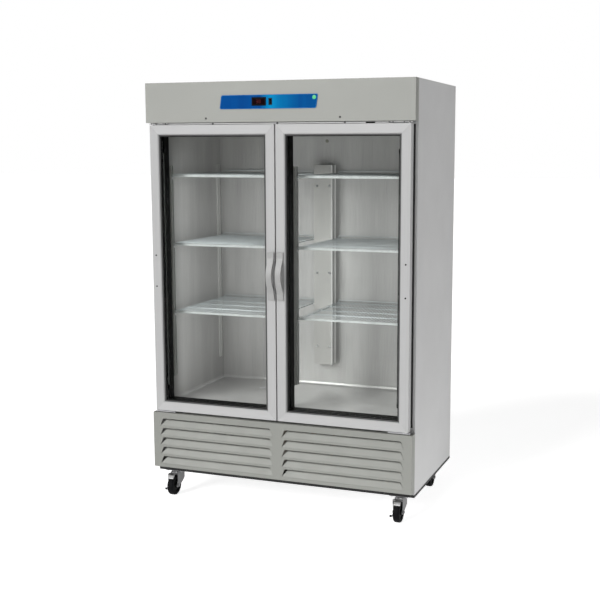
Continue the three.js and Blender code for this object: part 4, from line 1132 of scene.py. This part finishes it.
def brake_lever(caster):
    """A pressed lever on one arm beside the fork: neck, ribbed pedal, rubber shoe, and a black cap over the
    toe that is painted shade.
    """
    body = f"{caster}_brake"
    hub = JOINT_AT[f"{caster}_wheel_spin"]
    gap, sheet = 22.2, 2.4
    outer = gap + sheet
    pedal = (-12, 21)            # the pedal's two ends across the wheel

    def between(low, high):
        """Places (forwards, up) points, given from the axle, between two distances across it."""
        across = (low, high)
        return lambda forwards, up, end: Vector((hub.x + across[end], hub.y - forwards, hub.z + up))

    lever = Shape()
    beside_fork = between(-outer, -gap)
    neck_back, neck_front = 60 + 4 * 28 / 31, 60 + 4 * 14 / 31
    lever.prism([(8, -2), (-8, 2), (8, neck_back), (22, neck_front)], beside_fork)
    lever.prism([(-2, 7), (33, -16), (33, -19), (4, -8)], beside_fork)
    lever.lathe([(5.4, 0), (9, 0), (9, sheet), (5.4, sheet)], (hub.x - outer, hub.y, hub.z), (1, 0, 0), 32)
    bridge = [(22, neck_front), (8, neck_back), (8, neck_back - 3), (22, neck_front - 3)]
    lever.prism(bridge, between(-outer, 0))
    lever.prism([(36, 60), (33.9, 57.9), (5, 61), (5, 64)], between(-15, 15))
    curl = [
        (32, 60.5), (36, 60), (46, 50), (47.8, 47.4), (47.2, 45.4), (45.6, 45.2), (44.8, 47), (33.9, 57.9),
        (32, 57.8),
    ]
    lever.prism(curl, between(*pedal))
    lever.box((hub.x - outer - 9.5, hub.y - 33, hub.z - 19), (hub.x - gap, hub.y - 27, hub.z - 11))
    lever.piece(f"{body}_pedal", PEDAL_ZINC, body, bevel=0.5, replaces=f"{body}_lever")
    ribs = Shape()
    for k in range(3):
        y, z = hub.y - 38.2 - 2.6 * k, hub.z + 57.8 - 2.6 * k
        ribs.rod((hub.x + pedal[0] + 3, y, z), (hub.x + pedal[1] - 3, y, z), 0.7, 8)
    ribs.piece(f"{body}_ribs", PEDAL_ZINC, body, smooth=60)
    tread_side = []
    for share in (0.66, 0.69, 0.72, 0.75, 0.78):
        tread_side.append((-53.5 * math.cos(math.pi * share), 53.5 * math.sin(math.pi * share)))
    shoe = Shape().prism(tread_side + [(46.2, 45.4), (34.6, 57), (27, 58.4)], between(-12, 12))
    shoe.piece(f"{body}_shoe", RUBBER, body, slot="wheel_rubber", bevel=0.6)
    # The black block over the toe tab is painted shade on the tab.
    cap = Shape()
    cap.box((hub.x - outer - 11, hub.y - 34, hub.z - 19.8), (hub.x - outer - 0.6, hub.y - 26, hub.z - 10.2))
    cap.piece(f"{caster}_toe_shade_cap", RUBBER, body, slot="wheel_rubber", bevel=0.8)


def caster_plate_bolts(caster):
    """The top plate's finish and its four bolts."""
    node = f"{caster}_caster_plate"
    low, high = box_mm(node)
    use(node, DULL_ZINC)
    spots = [(x, y, low.z) for x in (low.x + 10, high.x - 10) for y in (low.y + 9, high.y - 9)]
    hex_bolts(f"{caster}_plate_bolts", spots, (0, 0, -1), radius=5)


# ------------------------------------------------------------------ back, machinery and evaporator


def back_details():
    """Screws round the rear sheet and a seam above the machine bay."""
    screws = [(x, BACK, z) for z in range(260, 2080, 260) for x in (-672, 672)]
    screws += [(x, BACK, z) for x in range(-504, 505, 252) for z in (448, 2080)]
    pan_screws("rear_screws", screws, (0, 1, 0), radius=3.6, height=1.8)
    seam = Shape().box((-680, BACK, 430), (680, BACK + 0.7, 462))
    seam.piece("rear_seam_strip", CASING, bevel=0.3)


def power_lead():
    """The cord leaves through a bush, hangs in two bends against the back and ends in a plug."""
    section = [(5.5, -2), (9.5, -2), (9.5, 1), (14, 1), (14, 3), (9.5, 4.5), (5.5, 4.5)]
    Shape().lathe(section, (0, BACK, 212), (0, 1, 0), 32).piece("cord_bush", BLACK, smooth=35)
    near = BACK + 5
    path = [(0, BACK - 30, 212), (0, BACK, 212)]
    path += bezier((0, BACK + 4, 212), (0, BACK + 14, 212), (4, BACK + 9, 190), (30, BACK + 6, 180), 10)
    path += bezier((34, BACK + 6, 179), (120, near, 160), (160, near, 176), (160, near, 260), 16)[1:]
    path += bezier((160, near, 262), (160, near, 420), (232, near, 420), (232, near, 300), 24)[1:]
    Shape().tube(path, 4.2, 12).piece("power_cord", BLACK, smooth=60)
    body = ((5.2, 302, 5.0), (8, 284, 8.0), (9.5, 262, 9.3), (9.5, 256, 9.3))
    rings = [circle((232, BACK + out, z), Quaternion(), radius, 16) for out, z, radius in body]
    Shape().loft(rings).piece("power_plug", BLACK, smooth=50)
    pins = Shape()
    for x in (226, 238):
        pins.box((x - 0.8, BACK + 6.5, 238), (x + 0.8, BACK + 12.5, 256.5))
    pins.rod((232, BACK + 14, 256.5), (232, BACK + 14, 235), 2.3, 16)
    pins.piece("power_plug_pins", STEEL, smooth=40)


def machinery():
    """Finishes of the machine bay, with its copper runs and the filter drier."""
    for node, material in (
        ("compressor", BLACK_METAL), ("condenser_coil", COPPER_FINS), ("condenser_fan_motor", BLACK_METAL),
        ("condenser_fan", ALUMINIUM), ("condensate_pan", ZINC),
    ):
        use(node, material)
    low, high = box_mm("compressor")
    coil_low, coil_high = box_mm("condenser_coil")
    x, y, z = (low.x + high.x) / 2 + 10, (low.y + high.y) / 2, high.z
    right, back, bottom = coil_high.x, coil_high.y, coil_low.z
    runs = {
        "discharge_tube": [(x, y, z - 4), (x, y, z + 25), (x - 8, y - 20, z + 34), (x - 60, y - 90, z + 34),
                           (right + 30, back - 20, z + 30), (right - 6, back - 26, z + 20)],
        "suction_tube": [(x + 40, y + 30, z - 60), (x + 70, y + 40, z - 50), (x + 84, y + 44, z - 20),
                         (x + 84, y + 60, 420)],
        "liquid_tube": [(right - 4, back - 26, bottom + 30), (right + 30, back - 10, bottom + 24),
                        (right + 60, back + 60, bottom + 24), (right + 60, back + 180, bottom + 60)],
    }
    for name, path in runs.items():
        Shape().tube(smooth_path(path), 4.5, 12).piece(name, COPPER, smooth=60)
    section = [(0.01, 0), (5, 2), (12, 10), (12, 80), (5, 92), (0.01, 94)]
    drier = Shape().lathe(section, (right + 60, back + 180, bottom + 56), (0, 0, 1), 32)
    drier.piece("filter_drier", COPPER, smooth=50)


def smooth_path(points):
    """A curve through the points, six steps to each span."""
    path = [Vector(p) for p in points]
    steps = 6
    curve = []
    for i in range(len(path) - 1):
        before = path[max(i - 1, 0)]
        after = path[min(i + 2, len(path) - 1)]
        a, b = path[i], path[i + 1]
        for s in range(steps):
            t = s / steps
            curve.append(0.5 * (2 * a + (b - before) * t + (2 * before - 5 * a + 4 * b - after) * t * t
                                + (3 * a - before - 3 * b + after) * t ** 3))
    curve.append(path[-1])
    return curve


def evaporator():
    """Finishes of the evaporator, with the fan's wire guard and the cover's screws."""
    for node, material in (
        ("evaporator_cover", ALUMINIUM), ("evaporator_coil", FINS), ("evaporator_fan_motor", BLACK_METAL),
        ("evaporator_fan", ALUMINIUM),
    ):
        use(node, material)
    low, high = box_mm("evaporator_cover")
    hub = JOINT_AT["evaporator_fan_spin"]
    wire = 1.2
    middle = Vector((hub.x, low.y - 3, hub.z))
    guard = Shape()
    angles = [math.tau * k / 6 for k in range(6)]
    section = [Vector((0, wire * math.sin(a), wire * math.cos(a))) for a in angles]

    def outwards(angle):
        return Vector((math.cos(angle), 0, math.sin(angle)))

    for radius in (14, 26, 38, 50, 62, 70):
        rings = []
        for step in range(48):
            out = outwards(math.tau * step / 48)
            rings.append([middle + out * (radius + point.z) + Vector((0, point.y, 0)) for point in section])
        guard.loft(rings, closed=True)
    for step in range(8):
        out = outwards(math.tau * step / 8 + 0.2)
        hold = middle + Vector((0, 1.6, 0))
        guard.rod(hold + out * 13, hold + out * 71, wire, 6)
    guard.piece("evaporator_fan_guard", STEEL, smooth=60)
    spots = [(x, y, low.z) for x in (low.x + 14, 0, high.x - 14) for y in (low.y + 14, high.y - 14)]
    pan_screws("evaporator_screws", spots, (0, 0, -1), radius=3.4)


# ------------------------------------------------------------------ stage, light and camera


def stage():
    """A pale floor that looks a little brighter to the camera than it is to the object."""
    size = 60.0
    corners = [(-size, -size, 0), (size, -size, 0), (size, size, 0), (-size, size, 0)]
    mesh = bpy.data.meshes.new("studio floor")
    mesh.from_pydata(corners, [], [(0, 1, 2, 3)])
    m = Nodes("studio floor")
    m.set(Roughness=0.7, Specular_IOR_Level=0.1, Emission_Color=(1, 1, 1, 1))
    path = m.node("ShaderNodeLightPath")
    glow = m.spread(path.outputs["Is Camera Ray"], 0.42, 0.86, source=(0, 1))
    m.link(glow, m.shader.inputs["Emission Strength"])
    tone = m.ramp(m.noise(0.8, 2), [(0.3, (0.90, 0.90, 0.90)), (0.7, (0.93, 0.93, 0.93))])
    m.link(tone, m.shader.inputs["Base Color"])
    mesh.materials.append(m.material)
    new_object("studio_floor", mesh)


def area_light(name, at, aim, width, height, power):
    """A rectangular light that neither the camera nor a reflection sees."""
    data = bpy.data.lights.new(name, "AREA")
    data.shape = "RECTANGLE"
    data.size = width
    data.size_y = height
    data.energy = power
    light = new_object(name, data)
    light.location = at
    light.rotation_euler = (Vector(aim) - Vector(at)).to_track_quat("-Z", "Y").to_euler()
    light.visible_camera = False
    light.visible_glossy = False


def sun_light(name, direction, power, spread):
    """A far light shining along direction, softened over spread degrees."""
    data = bpy.data.lights.new(name, "SUN")
    data.energy = power
    data.angle = math.radians(spread)
    new_object(name, data).rotation_euler = Vector(direction).to_track_quat("-Z", "Y").to_euler()


def studio_world():
    """White to the camera, a softer grey gradient to everything that the object reflects."""
    world = bpy.data.worlds.new("studio")
    bpy.context.scene.world = world
    world.use_nodes = True
    tree = world.node_tree
    soft = tree.nodes["Background"]
    white = tree.nodes.new("ShaderNodeBackground")
    white.inputs["Color"].default_value = (1, 1, 1, 1)
    source = tree.nodes.new("ShaderNodeTexCoord")
    parts = tree.nodes.new("ShaderNodeSeparateXYZ")
    height = tree.nodes.new("ShaderNodeMapRange")
    height.inputs["From Min"].default_value = -0.2
    height.inputs["From Max"].default_value = 1.0
    height.inputs["To Min"].default_value = 0.42
    height.inputs["To Max"].default_value = 0.58
    path = tree.nodes.new("ShaderNodeLightPath")
    mix = tree.nodes.new("ShaderNodeMixShader")
    tree.links.new(source.outputs["Generated"], parts.inputs["Vector"])
    tree.links.new(parts.outputs["Z"], height.inputs["Value"])
    tree.links.new(height.outputs["Result"], soft.inputs["Strength"])
    tree.links.new(path.outputs["Is Camera Ray"], mix.inputs["Fac"])
    tree.links.new(soft.outputs["Background"], mix.inputs[1])
    tree.links.new(white.outputs["Background"], mix.inputs[2])
    tree.links.new(mix.outputs["Shader"], tree.nodes["World Output"].inputs["Surface"])


def lights():
    """Daylight from the front left, fills on the side and low down, and a light in each half of the room."""
    studio_world()
    sun_light("key", (0.50, 1.0, -0.62), 2.3, 24)
    sun_light("side fill", (-1.0, 0.12, -0.12), 1.12, 50)
    area_light("low side fill", (1.5, 0.0, 0.15), (0.69, 0.0, 0.15), 1.2, 0.3, 1.8)
    for side, power in ((-1, 5.1), (1, 3.9)):
        x, z = side * 0.34, 1.12
        area_light(f"room light {side}", (x, ROOM_FRONT * MM + 0.03, z), (x, 0.345, z), 0.44, 1.20, power)


def camera():
    """The viewpoint: to the right of the doors and slightly above the handles."""
    heading, tilt = math.radians(19.97), math.radians(-8.36)
    data = bpy.data.cameras.new("camera")
    data.lens = 62.9
    data.sensor_width = 36.0
    data.shift_x = -0.0573
    data.shift_y = 0.007
    view = new_object("camera", data)
    view.location = (1.975, -4.970, 1.775)
    view.rotation_euler = (math.pi / 2 + tilt, 0, heading)
    bpy.context.scene.camera = view


# ------------------------------------------------------------------ assembly


def build():
    """Every visible piece, section by section."""
    for node, material in (
        ("outer_casing", CASING), ("header_panel", PANEL), ("louver_panel", LOUVER_PANEL),
        ("inner_liner", ROOM), ("breaker_frame", BLACK), ("center_mullion", BLACK),
        # The base frame's near-black is partly its own colour, partly painted shade under the louver panel.
        ("base_frame", BLACK_METAL), ("insulation_foam", FOAM),
    ):
        use(node, material)
    for name, side in SIDES:
        door_rails(side, name)
        door_glazing(side, name)
        door_gasket(name)
        door_handle(name)
        door_small_parts(name)
        light_bar(side, name)
        hinge_screws(side, name)
        hinge_clips(side, name)
        for level in ("lower", "middle", "upper"):
            wire_shelf(name, level)
            shelf_clips(name, side, level)
        for place in ("front", "rear"):
            caster = f"{place}_{name}"
            caster_wheel(caster)
            caster_fork(caster)
            caster_plate_bolts(caster)
        brake_lever(f"front_{name}")
    control_panel()
    temperature_display()
    rocker_switch()
    rail_fittings()
    header_screws()
    flange_strips()
    wall_pilasters()
    centre_posts()
    floor_edge()
    room_fittings()
    back_details()
    power_lead()
    machinery()
    evaporator()


build()
stage()
lights()
camera()
bpy.context.scene.view_settings.view_transform = "Standard"
